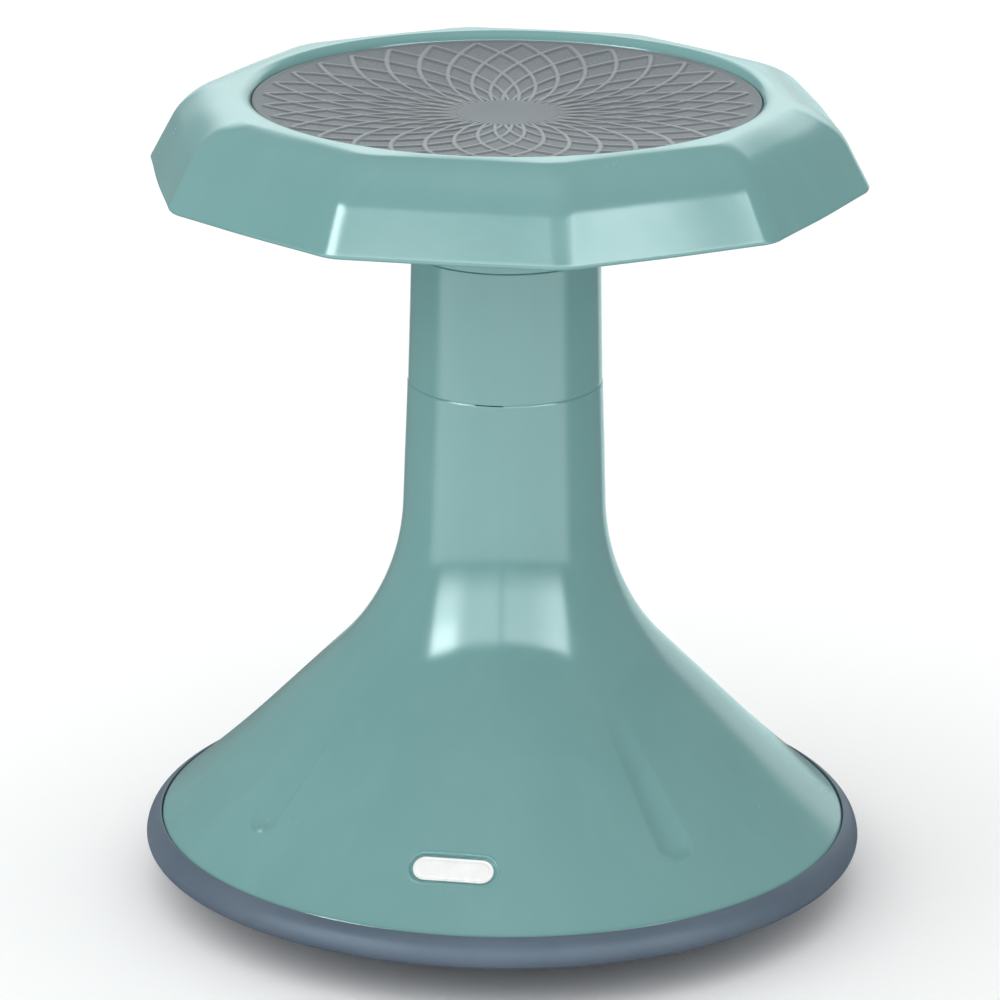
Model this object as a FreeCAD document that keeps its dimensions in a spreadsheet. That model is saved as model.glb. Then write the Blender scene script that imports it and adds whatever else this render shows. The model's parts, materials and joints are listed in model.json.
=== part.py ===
import FreeCAD, Part
import os
import math
import Sketcher
from FreeCAD import Placement, Rotation, Vector

# Moulded rocking stool, height class 380 mm: a ten-sided seat on a hub, a neck
# and a flared base, joined by two bayonets, standing on a domed rubber foot.
# Origin: centre of the floor contact land.  +Z up, front is -Y (the side with
# the name badge).

os.makedirs("parts", exist_ok=True)
doc = FreeCAD.newDocument("rocking_stool")

# ---------------------------------------------------------------- dimensions
TABLE = [
    # whole object
    ("top_z", 383.3),          # crest of the seat rim
    ("pad_edge_z", 380.0),     # edge of the pad
    ("upper_seam_z", 308.0),   # hub on neck
    ("lower_seam_z", 246.0),   # neck on base
    ("play", 0.05),            # clearance between fitted pieces
    # seat shell
    ("seat_apothem_low", 160.8),
    ("seat_apothem_high", 140.6),
    ("seat_low_z", 343.6),
    ("seat_wall", 3.5),
    ("crown_fillet", 34.0),
    ("rim_fillet", 1.6),
    ("deck_wall", 3.0),
    # pad
    ("pad_radius", 117.0),
    ("pad_dish", 7.5),
    ("skin_wall", 2.5),
    ("foam_wall", 6.0),
    # hub and its screws
    ("hub_radius_low", 43.9),
    ("hub_radius_high", 43.5),
    ("hub_wall", 3.5),
    ("flange_radius", 59.0),
    ("flange_wall", 4.0),
    ("boss_low_z", 348.05),
    ("hub_screw_circle", 50.5),
    ("screw_shank", 2.0),
    ("screw_head", 4.2),
    # bayonet
    ("spigot_radius", 35.0),
    ("spigot_wall", 3.0),
    ("spigot_depth", 18.0),
    ("lug_reach", 38.9),
    ("lug_angle", 20.0),
    ("lug_wall", 5.0),
    ("lug_drop", 12.0),        # seam to the top of a lug
    ("lock_angle", 30.0),
    ("ring_radius", 41.4),
    ("ring_depth", 22.0),
    # neck
    ("neck_radius_high", 43.9),
    ("neck_radius_low", 45.2),
    ("neck_floor", 4.0),
    # base shell
    ("base_top_radius", 45.5),
    ("base_wall", 3.5),
    ("lip_radius", 162.3),
    ("lip_z", 30.3),
    ("foot_screw_circle", 125.0),
    ("foot_seat_z", 25.6),
    # rubber boot and pan
    ("dome_radius", 690.0),
    ("land_radius", 32.0),
    ("boot_wall", 4.0),
    ("bulge_radius", 169.7),
    ("pan_wall", 3.5),
    # badge
    ("badge_length", 37.0),
    ("badge_width", 11.6),
    ("badge_wall", 0.9),
]
sheet = doc.addObject("Spreadsheet::Sheet", "dims")
for row, (alias, number) in enumerate(TABLE, start=1):
    sheet.set("A%d" % row, alias)
    sheet.set("B%d" % row, repr(number))
    sheet.setAlias("B%d" % row, alias)
doc.recompute()


class Size:
    """A number together with the sheet expression that gives it."""

    def __init__(self, value, expr):
        self.value, self.expr = float(value), expr

    @staticmethod
    def of(other):
        return other if isinstance(other, Size) else Size(other, "%.6f" % float(other))

    def __add__(self, other):
        other = Size.of(other)
        return Size(self.value + other.value, "(%s + %s)" % (self.expr, other.expr))

    def __sub__(self, other):
        other = Size.of(other)
        return Size(self.value - other.value, "(%s - %s)" % (self.expr, other.expr))

    def __mul__(self, other):
        other = Size.of(other)
        return Size(self.value * other.value, "(%s * %s)" % (self.expr, other.expr))

    def __truediv__(self, other):
        other = Size.of(other)
        return Size(self.value / other.value, "(%s / %s)" % (self.expr, other.expr))


class Dimensions:
    """The sheet's dimensions, one Size per attribute."""

    def __init__(self, table):
        for name, value in table:
            setattr(self, name, Size(value, "dims." + name))


dim = Dimensions(TABLE)


# ------------------------------------------------------------ sketch helpers
def bind(obj, prop, size):
    """Tie a property to the sheet; a plain number needs no expression."""
    size = Size.of(size)
    if "dims." in size.expr:
        obj.setExpression(prop, size.expr)


def sketch(body, name, plane, z=0.0, turn=0.0):
    """A sketch on one of the body's origin planes, raised by z along the plane's
    normal and turned about its own vertical axis."""
    sk = body.newObject("Sketcher::SketchObject", name)
    sk.AttachmentSupport = [(origin(body, plane), "")]
    sk.MapMode = "FlatFace"
    sk.AttachmentOffset = Placement(
        Vector(0, 0, Size.of(z).value), Rotation(Vector(0, 1, 0), turn))
    bind(sk, "AttachmentOffset.Base.z", z)
    return sk


def measure(sk, size, kind, *where):
    """Add a dimensional constraint and tie it to the sheet."""
    size = Size.of(size)
    index = sk.addConstraint(Sketcher.Constraint(kind, *where, size.value))
    bind(sk, "Constraints[%d]" % index, size)


def pin(sk, geo, end, x, y):
    """Hold one end of one edge at x, y."""
    for kind, size, zero_axis in (("DistanceX", x, -2), ("DistanceY", y, -1)):
        if abs(Size.of(size).value) < 1e-9:
            sk.addConstraint(Sketcher.Constraint("PointOnObject", geo, end, zero_axis))
        else:
            measure(sk, size, kind, -1, 1, geo, end)


def arc_between(start, stop, radius, side):
    """Counter-clockwise arc joining two points, bulging to side of travel."""
    chord = stop - start
    half = chord.Length / 2
    left = Vector(-chord.y, chord.x, 0).normalize()
    rise = math.sqrt(radius * radius - half * half)
    centre = (start + stop) * 0.5 - left * (side * rise)
    first = math.atan2(start.y - centre.y, start.x - centre.x)
    last = math.atan2(stop.y - centre.y, stop.x - centre.x)
    if side > 0:                                 # travel is clockwise
        first, last = last, first
    if last < first:
        last += 2 * math.pi
    return Part.ArcOfCircle(Part.Circle(centre, Vector(0, 0, 1), radius), first, last)


def outline(sk, points):
    """Closed outline.  Each entry is (x, y) or (x, y, radius, side): the edge
    that leaves this point is then an arc of that radius, bulging to side
    +1 (left of travel) or -1 (right of travel)."""
    corners = [Vector(Size.of(p[0]).value, Size.of(p[1]).value, 0) for p in points]
    count = len(points)
    edges = []                                   # geometry, start end, far end
    for i, point in enumerate(points):
        start, stop = corners[i], corners[(i + 1) % count]
        if len(point) > 2:
            shape = arc_between(start, stop, Size.of(point[2]).value, point[3])
            ends = (2, 1) if point[3] > 0 else (1, 2)
        else:
            shape = Part.LineSegment(start, stop)
            ends = (1, 2)
        edges.append((sk.addGeometry(shape, False),) + ends)
    for i, (geo, _, far) in enumerate(edges):
        after, near, _ = edges[(i + 1) % count]
        sk.addConstraint(Sketcher.Constraint("Coincident", geo, far, after, near))
    for point, (geo, near, _) in zip(points, edges):
        pin(sk, geo, near, point[0], point[1])
        if len(point) > 2:
            measure(sk, point[2], "Radius", geo)


def circle(sk, x, y, radius):
    centre = Vector(Size.of(x).value, Size.of(y).value, 0)
    shape = Part.Circle(centre, Vector(0, 0, 1), Size.of(radius).value)
    geo = sk.addGeometry(shape, False)
    measure(sk, radius, "Radius", geo)
    pin(sk, geo, 3, x, y)


# -------------------------------------------------------------- body helpers
def new_body(name):
    body = doc.addObject("PartDesign::Body", name)
    body.Label = name
    body.AllowCompound = True
    return body


def origin(body, role):
    for item in body.Origin.OriginFeatures:
        if item.Role == role:
            return item
    raise RuntimeError(role)


def turned(body, name, points, cut=False, angle=None, turn=0.0):
    """Revolution or groove about Z of an outline given as (radius, height)."""
    sk = sketch(body, name + "_sketch", "XZ_Plane", turn=turn)
    outline(sk, points)
    kind = "PartDesign::Groove" if cut else "PartDesign::Revolution"
    feature = body.newObject(kind, name)
    feature.Profile = sk
    feature.ReferenceAxis = (sk, ["V_Axis"])
    feature.Angle = 360.0
    if angle is not None:
        feature.Midplane = True
        bind(feature, "Angle", angle)
    doc.recompute()
    return feature


def extruded(body, name, sk, length, both=False, cut=False, reverse=False):
    feature = body.newObject("PartDesign::Pocket" if cut else "PartDesign::Pad", name)
    feature.Profile = sk
    feature.Length = Size.of(length).value
    bind(feature, "Length", length)
    if both:
        feature.Midplane = True
    feature.Reversed = reverse
    doc.recompute()
    return feature


def disc(body, name, x, y, radius, z, length, suffix="_sketch", **how):
    """Round pad or pocket parallel to Z, from a plan at height z."""
    sk = sketch(body, name + suffix, "XY_Plane", z=z)
    circle(sk, x, y, radius)
    return extruded(body, name, sk, length, **how)


def upright(body, name, points, wall, turn=0.0):
    """Radial plate centred on a vertical plane, outline as (radius, height)."""
    sk = sketch(body, name + "_sketch", "XZ_Plane", turn=turn)
    outline(sk, points)
    return extruded(body, name, sk, wall, both=True)


def polar(body, name, feature, count):
    pattern = body.newObject("PartDesign::PolarPattern", name)
    pattern.Originals = [feature]
    pattern.Axis = (origin(body, "Z_Axis"), [""])
    pattern.Angle = 360
    pattern.Occurrences = count
    body.Tip = pattern
    doc.recompute()


def loft(body, kind, name, plans):
    feature = body.newObject(kind, name)
    feature.Profile = plans[0]
    feature.Sections = plans[1:]
    feature.Ruled = True
    doc.recompute()


# ------------------------------------------------------------- solid helpers
def primitive(kind, name, place, **sizes):
    obj = doc.addObject("Part::" + kind, name)
    for prop, size in sizes.items():
        setattr(obj, prop, Size.of(size).value)
        bind(obj, prop, size)
    obj.Placement = place
    return obj


def turned_solid(name, points):
    """Full turn about Z of an outline given as (radius, height)."""
    sk = doc.addObject("Sketcher::SketchObject", name + "_sketch")
    sk.Placement = Placement(Vector(0, 0, 0), Rotation(Vector(1, 0, 0), 90))
    outline(sk, points)
    solid = doc.addObject("Part::Revolution", name)
    solid.Source = sk
    solid.Axis = Vector(0, 0, 1)
    solid.Base = Vector(0, 0, 0)
    solid.Angle = 360
    solid.Solid = True
    doc.recompute()
    return solid


def fuse(name, shapes):
    union = doc.addObject("Part::MultiFuse", name)
    union.Shapes = shapes
    doc.recompute()
    return union


def cut(name, base, tool):
    result = doc.addObject("Part::Cut", name)
    result.Base, result.Tool = base, tool
    doc.recompute()
    return result


def ring_of(name, source, count, first=0.0):
    """Copies of one fastener about Z, as one node of separate solids."""
    solid = source.Shape.Solids[0]
    ring = doc.addObject("Part::Feature", name)
    ring.Label = name
    ring.Shape = Part.makeCompound([
        solid.copy().rotated(Vector(0, 0, 0), Vector(0, 0, 1), first + 360.0 / count * i)
        for i in range(count)])
    return ring


# ---------------------------------------------------------------- seat shell
SIDES = 10
FIRST_CORNER = -90.0 + 180.0 / SIDES   # degrees; a flat side faces the front
RIM_CORNER = 9.0                       # plan corner radius on the lower rim
CROWN_CORNER, CORNER_GROWTH = 9.5, 15.5    # at the crown's start, and per radian
SEAT_RIB_WALL = 2.4
INNER_RING_RADIUS, OUTER_RING_RADIUS = 62.0, 109.0
BOSS_RADIUS = 5.5
HUB_SCREWS = 6

# section through the middle of a side: rim round, leaning flat, crown round
low_z, low_apothem = dim.seat_low_z.value, dim.seat_apothem_low.value
lean = math.atan2(low_apothem - dim.seat_apothem_high.value, dim.top_z.value - low_z)
rim_radius, crown_radius = dim.rim_fillet.value, dim.crown_fillet.value
rim_centre = (low_apothem - rim_radius * math.tan(math.pi / 4 + lean / 2),
              low_z + rim_radius)
crown_centre = (
    dim.seat_apothem_high.value - crown_radius * math.tan(math.pi / 4 - lean / 2),
    dim.top_z.value - crown_radius)
# angles above horizontal, in radians, of the stations on each round
RIM_TURNS = (-math.pi / 2, -math.pi / 4, 0.0, lean)
CROWN_TURNS = (lean, 0.63, 0.80, 0.98, 1.17, 1.37, math.pi / 2)

# the pad, its foam and the deck below them share one dish
stack = dim.skin_wall + dim.foam_wall + dim.play * 2
dish_radius = ((dim.pad_radius * dim.pad_radius + dim.pad_dish * dim.pad_dish)
               / (dim.pad_dish * 2))
edge_z = dim.pad_edge_z
dish_z = edge_z - dim.pad_dish         # bottom of the dish


def on_round(centre, radius, turn):
    return centre[0] + radius * math.cos(turn), centre[1] + radius * math.sin(turn)


def decagon(body, name, apothem, z, datum, corner=0.0):
    """Decagon at height z, tied to the sheet height datum; corner is the
    radius of its rounded corners, 0 for sharp ones."""
    sk = sketch(body, name, "XY_Plane", z=datum + (z - datum.value))
    reach = 1.0 / math.cos(math.pi / SIDES)
    side = dim.seat_apothem_low * (apothem / low_apothem)
    points = []
    for i in range(SIDES):
        angle = math.radians(FIRST_CORNER + 360.0 / SIDES * i)
        if not corner:
            points.append((side * (reach * math.cos(angle)),
                           side * (reach * math.sin(angle))))
            continue
        centre = side * reach - corner * reach   # distance of the corner arc's centre
        for sign in (-1, 1):
            end = angle + sign * math.pi / SIDES
            x = centre * math.cos(angle) + corner * math.cos(end)
            y = centre * math.sin(angle) + corner * math.sin(end)
            points.append((x, y, corner, -1) if sign < 0 else (x, y))
    outline(sk, points)
    return sk


def make_seat_shell():
    body = new_body("seat_shell")
    stations = [(*on_round(rim_centre, rim_radius, turn), dim.seat_low_z, RIM_CORNER)
                for turn in RIM_TURNS]
    stations += [(*on_round(crown_centre, crown_radius, turn), dim.top_z,
                  CROWN_CORNER + CORNER_GROWTH * (turn - lean)) for turn in CROWN_TURNS]
    plans = [decagon(body, "plan%d" % (i + 1), *station)
             for i, station in enumerate(stations)]
    loft(body, "PartDesign::AdditiveLoft", "seat_block", plans)

    # hollow: upright at the mouth, then parallel to the wall and the crown
    mouth = rim_centre[0] - 2.4
    level_wall = dim.seat_wall.value / math.cos(lean)
    mouth_top_z = low_z + (low_apothem - level_wall - mouth) / math.tan(lean)
    stations = [(mouth, low_z - 1.0, dim.seat_low_z), (mouth, mouth_top_z, dim.seat_low_z)]
    stations += [(*on_round(crown_centre, crown_radius - dim.seat_wall.value, turn), dim.top_z)
                 for turn in CROWN_TURNS]
    hollows = [decagon(body, "hollow%d" % (i + 1), *station)
               for i, station in enumerate(stations)]
    loft(body, "PartDesign::SubtractiveLoft", "cavity", hollows)

    # dished deck under the pad
    deck_rim = dim.pad_radius + 3.4
    deck_edge_z = edge_z - stack - dim.deck_wall
    turned(body, "deck", [
        (0, dish_z - stack - dim.deck_wall, dish_radius, -1),
        (dim.pad_radius, deck_edge_z),
        (deck_rim, deck_edge_z),
        (deck_rim, dim.top_z - 1.2),
        (0, dim.top_z - 1.2)])
    recess = dim.pad_radius + dim.play * 2
    turned(body, "pad_recess", [
        (0, dish_z - stack, dish_radius, -1),
        (recess, edge_z - stack),
        (recess, edge_z + 0.4),
        (dim.pad_radius + 1.2, edge_z + 2.2),
        (dim.pad_radius + 3.6, dim.top_z + 0.1),
        (dim.pad_radius + 3.6, dim.top_z + 2.0),
        (0, dim.top_z + 2.0)], cut=True)

    # a radial rib to each corner, and two ring ribs under the deck
    rib_z = dim.boss_low_z + 3.0
    rib = upright(body, "rib", [
        (INNER_RING_RADIUS, rib_z),
        (130.0, rib_z),
        (mouth + 1.0, dim.seat_low_z + 4.0),
        on_round(crown_centre, crown_radius - 2.0, 0.63),
        on_round(crown_centre, crown_radius - 2.0, 1.17),
        (crown_centre[0] + 2.0, dim.top_z - 2.2),
        (dim.pad_radius + 2.6, dim.top_z - 6.0),
        (dim.pad_radius + 1.0, edge_z - stack - 1.5),
        (INNER_RING_RADIUS, dish_z - stack - 0.5)], SEAT_RIB_WALL)
    polar(body, "ribs", rib, SIDES)
    for name, radius, bottom, top in (
            ("ring_rib", INNER_RING_RADIUS, rib_z - 3.0, dish_z - stack - 1.0),
            ("outer_ring_rib", OUTER_RING_RADIUS, rib_z, edge_z - stack - 2.0)):
        inside, outside = radius - SEAT_RIB_WALL / 2, radius + SEAT_RIB_WALL / 2
        turned(body, name, [(inside, bottom), (outside, bottom), (outside, top), (inside, top)])

    # screw bosses over the hub flange
    boss = disc(body, "boss", dim.hub_screw_circle, 0, BOSS_RADIUS, dim.boss_low_z, 15.4)
    polar(body, "bosses", boss, HUB_SCREWS)
    pilot = disc(body, "pilot", dim.hub_screw_circle, 0, dim.screw_shank + dim.play,
                 dim.boss_low_z - 1.0, 14.0, cut=True, reverse=True)
    polar(body, "pilots", pilot, HUB_SCREWS)
    return body


# ------------------------------------------------------------- pad and foam
def make_cushion(name, solid_name, drop, wall, inset=0.0, edge_drop=0.0):
    """Dished disc whose upper face lies drop below the pad's; inset and
    edge_drop pull its edge in and down."""
    body = new_body(name)
    radius = dim.pad_radius - dim.play - inset
    centre_top = dish_z - drop
    edge_top = edge_z - drop - edge_drop
    body.BaseFeature = turned_solid(solid_name, [
        (0, centre_top - wall, dish_radius, -1),
        (radius, edge_top - wall),
        (radius, edge_top, dish_radius, 1),
        (0, centre_top)])
    return body


# ------------------------------------------------------------------ bayonets
LUGS = 3


def add_spigot(body, seam):
    """Spigot with its lugs, hanging below the seam."""
    radius = dim.spigot_radius
    bore = radius - dim.spigot_wall
    bottom = seam - dim.spigot_depth
    turned(body, "spigot", [
        (bore, bottom), (radius - 1.0, bottom), (radius, bottom + 1.0),
        (radius, seam + 1.0), (bore, seam + 1.0)])
    lug_top = seam - dim.lug_drop
    lug_low = lug_top - dim.lug_wall
    lug = turned(body, "lug", [
        (radius - 1.0, lug_low), (dim.lug_reach - 0.6, lug_low),
        (dim.lug_reach, lug_low + 0.6),
        (dim.lug_reach, lug_top), (radius - 1.0, lug_top)], angle=dim.lug_angle)
    polar(body, "lugs", lug, LUGS)


def make_lock_ring(name, seam):
    """Ring with L-shaped tracks for the lugs of the piece above."""
    body = new_body(name)
    bore = dim.spigot_radius + dim.play
    groove = dim.lug_reach + dim.play * 2
    bottom, top = seam - dim.ring_depth, seam - dim.play * 2
    turned(body, "ring", [
        (bore, bottom), (dim.ring_radius, bottom), (dim.ring_radius, top), (bore, top)])
    track_top = seam - dim.lug_drop + 0.15
    track_low = seam - dim.lug_drop - dim.lug_wall - 0.15
    lock = dim.lock_angle.value
    track = turned(body, "track", [
        (bore - 2.0, track_low), (groove, track_low),
        (groove, track_top), (bore - 2.0, track_top)],
        cut=True, angle=dim.lug_angle + dim.lock_angle + 1.0, turn=lock / 2)
    polar(body, "tracks", track, LUGS)
    entry_wall = groove + 0.04
    entry = turned(body, "entry", [
        (bore - 2.5, track_low + 2.0), (entry_wall, track_low + 2.0),
        (entry_wall, seam + 1.0), (bore - 2.5, seam + 1.0)],
        cut=True, angle=dim.lug_angle + 0.8, turn=lock)
    polar(body, "entries", entry, LUGS)
    return body


# ----------------------------------------------------------------------- hub
flange_top_z = dim.boss_low_z - dim.play
flange_low_z = flange_top_z - dim.flange_wall
spigot_bore = dim.spigot_radius - dim.spigot_wall


def make_hub():
    body = new_body("seat_hub")
    foot_z = dim.upper_seam_z + dim.play
    turned(body, "hub_shell", [
        (spigot_bore, foot_z),
        (dim.hub_radius_low - 0.5, foot_z),
        (dim.hub_radius_low, foot_z + 0.5),
        (dim.hub_radius_high, flange_low_z),
        (dim.flange_radius, flange_low_z),
        (dim.flange_radius, flange_top_z),
        (dim.hub_radius_high - dim.hub_wall, flange_top_z),
        (dim.hub_radius_low - dim.hub_wall, dim.upper_seam_z + 5.0),
        (spigot_bore, dim.upper_seam_z + 4.0)])
    add_spigot(body, foot_z)
    gusset = upright(body, "gusset", [
        (dim.hub_radius_high - 1.5, flange_low_z - 12.0),
        (dim.hub_radius_high + 1.0, flange_low_z - 12.0),
        (dim.flange_radius - 2.0, flange_low_z - 1.0),
        (dim.flange_radius - 2.0, flange_low_z + 1.0),
        (dim.hub_radius_high - 1.5, flange_low_z + 1.0)],
        3.0, turn=180.0 / HUB_SCREWS)            # midway between the screws
    polar(body, "gussets", gusset, HUB_SCREWS)
    hole = disc(body, "hub_hole", dim.hub_screw_circle, 0, dim.screw_shank + 0.3,
                flange_top_z + 1.0, dim.flange_wall + 2.0, cut=True)
    polar(body, "hub_holes", hole, HUB_SCREWS)
    return body


# ------------------------------------------------------- screws and washers
HEAD_HEIGHT, HEAD_ROUND = 2.8, 1.4
CROSS_ARM, CROSS_HALF_WIDTH = 2.2, 0.55
WASHER_RADIUS, WASHER_WALL = 4.8, 1.0


def make_screw(name, reach, seat_z, length):
    """One pan-head screw at radius reach on +X, head down, head seat at seat_z."""
    body = new_body(name)
    head_z = seat_z - HEAD_HEIGHT
    head = disc(body, "head", reach, 0, dim.screw_head, head_z, HEAD_HEIGHT)
    low_edges = ["Edge%d" % (i + 1) for i, edge in enumerate(head.Shape.Edges)
                 if all(abs(v.Point.z - head_z.value) < 1e-4 for v in edge.Vertexes)]
    rounding = body.newObject("PartDesign::Fillet", "head_round")
    rounding.Base = (head, low_edges)
    rounding.Radius = HEAD_ROUND
    doc.recompute()
    disc(body, "shank", reach, 0, dim.screw_shank, seat_z - 0.2, length + 0.2)
    drive = sketch(body, "drive_sketch", "XY_Plane", z=seat_z - 3.0)
    near, far = CROSS_HALF_WIDTH, CROSS_ARM
    outline(drive, [(reach + x, y) for x, y in (
        (-far, -near), (-near, -near), (-near, -far), (near, -far),
        (near, -near), (far, -near), (far, near), (near, near),
        (near, far), (-near, far), (-near, near), (-far, near))])
    extruded(body, "drive", drive, 1.7, cut=True, reverse=True)
    return body


def make_hub_screws():
    seat_z = flange_low_z - WASHER_WALL - dim.play * 2
    return ring_of("hub_screws", make_screw(
        "hub_screw_one", dim.hub_screw_circle, seat_z, 16.0), HUB_SCREWS)


def make_hub_washers():
    body = new_body("hub_washer_one")
    sk = sketch(body, "washer_sketch", "XY_Plane", z=flange_low_z - WASHER_WALL - dim.play)
    circle(sk, dim.hub_screw_circle, 0, WASHER_RADIUS)
    circle(sk, dim.hub_screw_circle, 0, dim.screw_shank + 0.15)
    extruded(body, "washer", sk, WASHER_WALL)
    return ring_of("hub_washers", body, HUB_SCREWS)


# ---------------------------------------------------------------------- neck
ring_socket = dim.ring_radius + dim.play         # bore that holds a lock ring


def make_neck():
    body = new_body("neck_tube")
    low, top = dim.lower_seam_z, dim.upper_seam_z
    ledge_z = top - dim.ring_depth - dim.play    # carries the upper lock ring
    turned(body, "tube", [
        (spigot_bore, low + dim.play),
        (dim.neck_radius_low - 0.5, low + dim.play),
        (dim.neck_radius_low, low + dim.play + 0.5),
        (dim.neck_radius_high, top - 0.4),
        (dim.neck_radius_high - 0.4, top),
        (ring_socket, top),
        (ring_socket, ledge_z),
        (ring_socket - 3.0, ledge_z),
        (ring_socket, top - dim.ring_depth - 5.0),
        (ring_socket, low + dim.neck_floor),
        (spigot_bore, low + dim.neck_floor)])
    add_spigot(body, low + dim.play)
    return body


# ---------------------------------------------------------------- base shell
# outer wall from the top down: taper, flare arc, cone, opening arc, lip round
base_top_z = dim.lower_seam_z - dim.play
TAPER_ANGLE = math.radians(1.9)        # wall angles are from the vertical
CONE_ANGLE = math.radians(44.6)
FLARE_RADIUS = 109.0
FLARE_TOP_Z = 186.0
OPEN_R = 118.0                         # the cone opens further from here out
LIP_ROUND = 4.0
flare_top_r = (dim.base_top_radius.value
               + (dim.lower_seam_z.value - FLARE_TOP_Z) * math.tan(TAPER_ANGLE))
flare_low_r = flare_top_r + FLARE_RADIUS * (math.cos(TAPER_ANGLE) - math.cos(CONE_ANGLE))
flare_low_z = FLARE_TOP_Z - FLARE_RADIUS * (math.sin(CONE_ANGLE) - math.sin(TAPER_ANGLE))
open_z = flare_low_z - (OPEN_R - flare_low_r) / math.tan(CONE_ANGLE)
lip_end_z = dim.lip_z.value + 0.4
# the opening arc is tangent to both the cone and the lip round
end_angle = CONE_ANGLE
for _ in range(40):
    end_r = dim.lip_radius.value - LIP_ROUND * (1 - math.cos(end_angle))
    end_z = lip_end_z + LIP_ROUND * math.sin(end_angle)
    end_angle = 2 * math.atan2(end_r - OPEN_R, open_z - end_z) - CONE_ANGLE
open_radius = (math.hypot(end_r - OPEN_R, open_z - end_z)
               / (2 * math.sin((end_angle - CONE_ANGLE) / 2)))

FLUTE_RADIUS = 20.0
FLUTE_AZIMUTHS = (-135.0, -45.0, 45.0, 135.0)
BADGE_R = 137.0                        # distance of the badge from Z
POCKET_DEPTH = 2.0
FOOT_SCREWS = 8
FOOT_STEP = 360.0 / FOOT_SCREWS
BASE_RIB_WALL = 2.4
RIB_START_R = 44.0


def wall_points(offset):
    """Lip to taper, moved in by offset along the wall's normal."""
    shift = Size.of(offset).value

    def inset(radius, z, angle):
        return radius - shift * math.cos(angle), z - shift * math.sin(angle)

    return [
        (dim.lip_radius - offset, lip_end_z, LIP_ROUND - shift, -1),
        (*inset(end_r, end_z, end_angle), open_radius + shift, 1),
        inset(OPEN_R, open_z, CONE_ANGLE),
        (*inset(flare_low_r, flare_low_z, CONE_ANGLE), FLARE_RADIUS + shift, 1),
        inset(flare_top_r, FLARE_TOP_Z, TAPER_ANGLE)]


def on_wall(radius):
    """Point, direction down the wall and outward normal at azimuth 0, for a
    radius on the cone or the opening arc."""
    if radius <= OPEN_R:
        angle = CONE_ANGLE
        z = flare_low_z - (radius - flare_low_r) / math.tan(CONE_ANGLE)
    else:
        angle = math.acos(math.cos(CONE_ANGLE) - (radius - OPEN_R) / open_radius)
        z = open_z - open_radius * (math.sin(angle) - math.sin(CONE_ANGLE))
    return (Vector(radius, 0, z),
            Vector(math.sin(angle), 0, -math.cos(angle)),
            Vector(math.cos(angle), 0, math.sin(angle)))


def trough(name, grow, azimuth):
    """Round bar down the wall with a ball at its foot: one flute."""
    foot, _, foot_normal = on_wall(133.0)
    head, _, head_normal = on_wall(66.0)
    foot = foot + foot_normal * (FLUTE_RADIUS - 2.2)
    head = head + head_normal * (FLUTE_RADIUS + 0.5)
    run = foot - head
    spin = Rotation(Vector(0, 0, 1), azimuth)
    along = spin.multiply(Rotation(Vector(0, 0, 1), run))
    radius = FLUTE_RADIUS + grow
    return [
        primitive("Cylinder", name + "_run", Placement(spin.multVec(head), along),
                  Radius=radius, Height=run.Length),
        primitive("Sphere", name + "_end", Placement(spin.multVec(foot), Rotation()),
                  Radius=radius)]


to_front = Rotation(Vector(0, 0, 1), -90.0)
badge_point, badge_down, badge_normal = [to_front.multVec(v) for v in on_wall(BADGE_R)]
badge_frame = Rotation(Vector(1, 0, 0), badge_down * -1, badge_normal, "ZXY")


def pill(name, length, width, lift, depth):
    """A flat pill, its outer face lift above the wall at the badge's centre."""
    base = badge_point + badge_normal * (lift - depth)
    half = (length - width) / 2

    def place(x, y):
        return Placement(base + badge_frame.multVec(Vector(x, y, 0)), badge_frame)

    solids = [primitive("Box", name + "_mid", place(-half, -width / 2),
                        Length=length - width, Width=width, Height=depth)]
    for i, x in enumerate((-half, half)):
        solids.append(primitive("Cylinder", "%s_end%d" % (name, i + 1), place(x, 0),
                                Radius=width / 2, Height=depth))
    return solids


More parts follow.
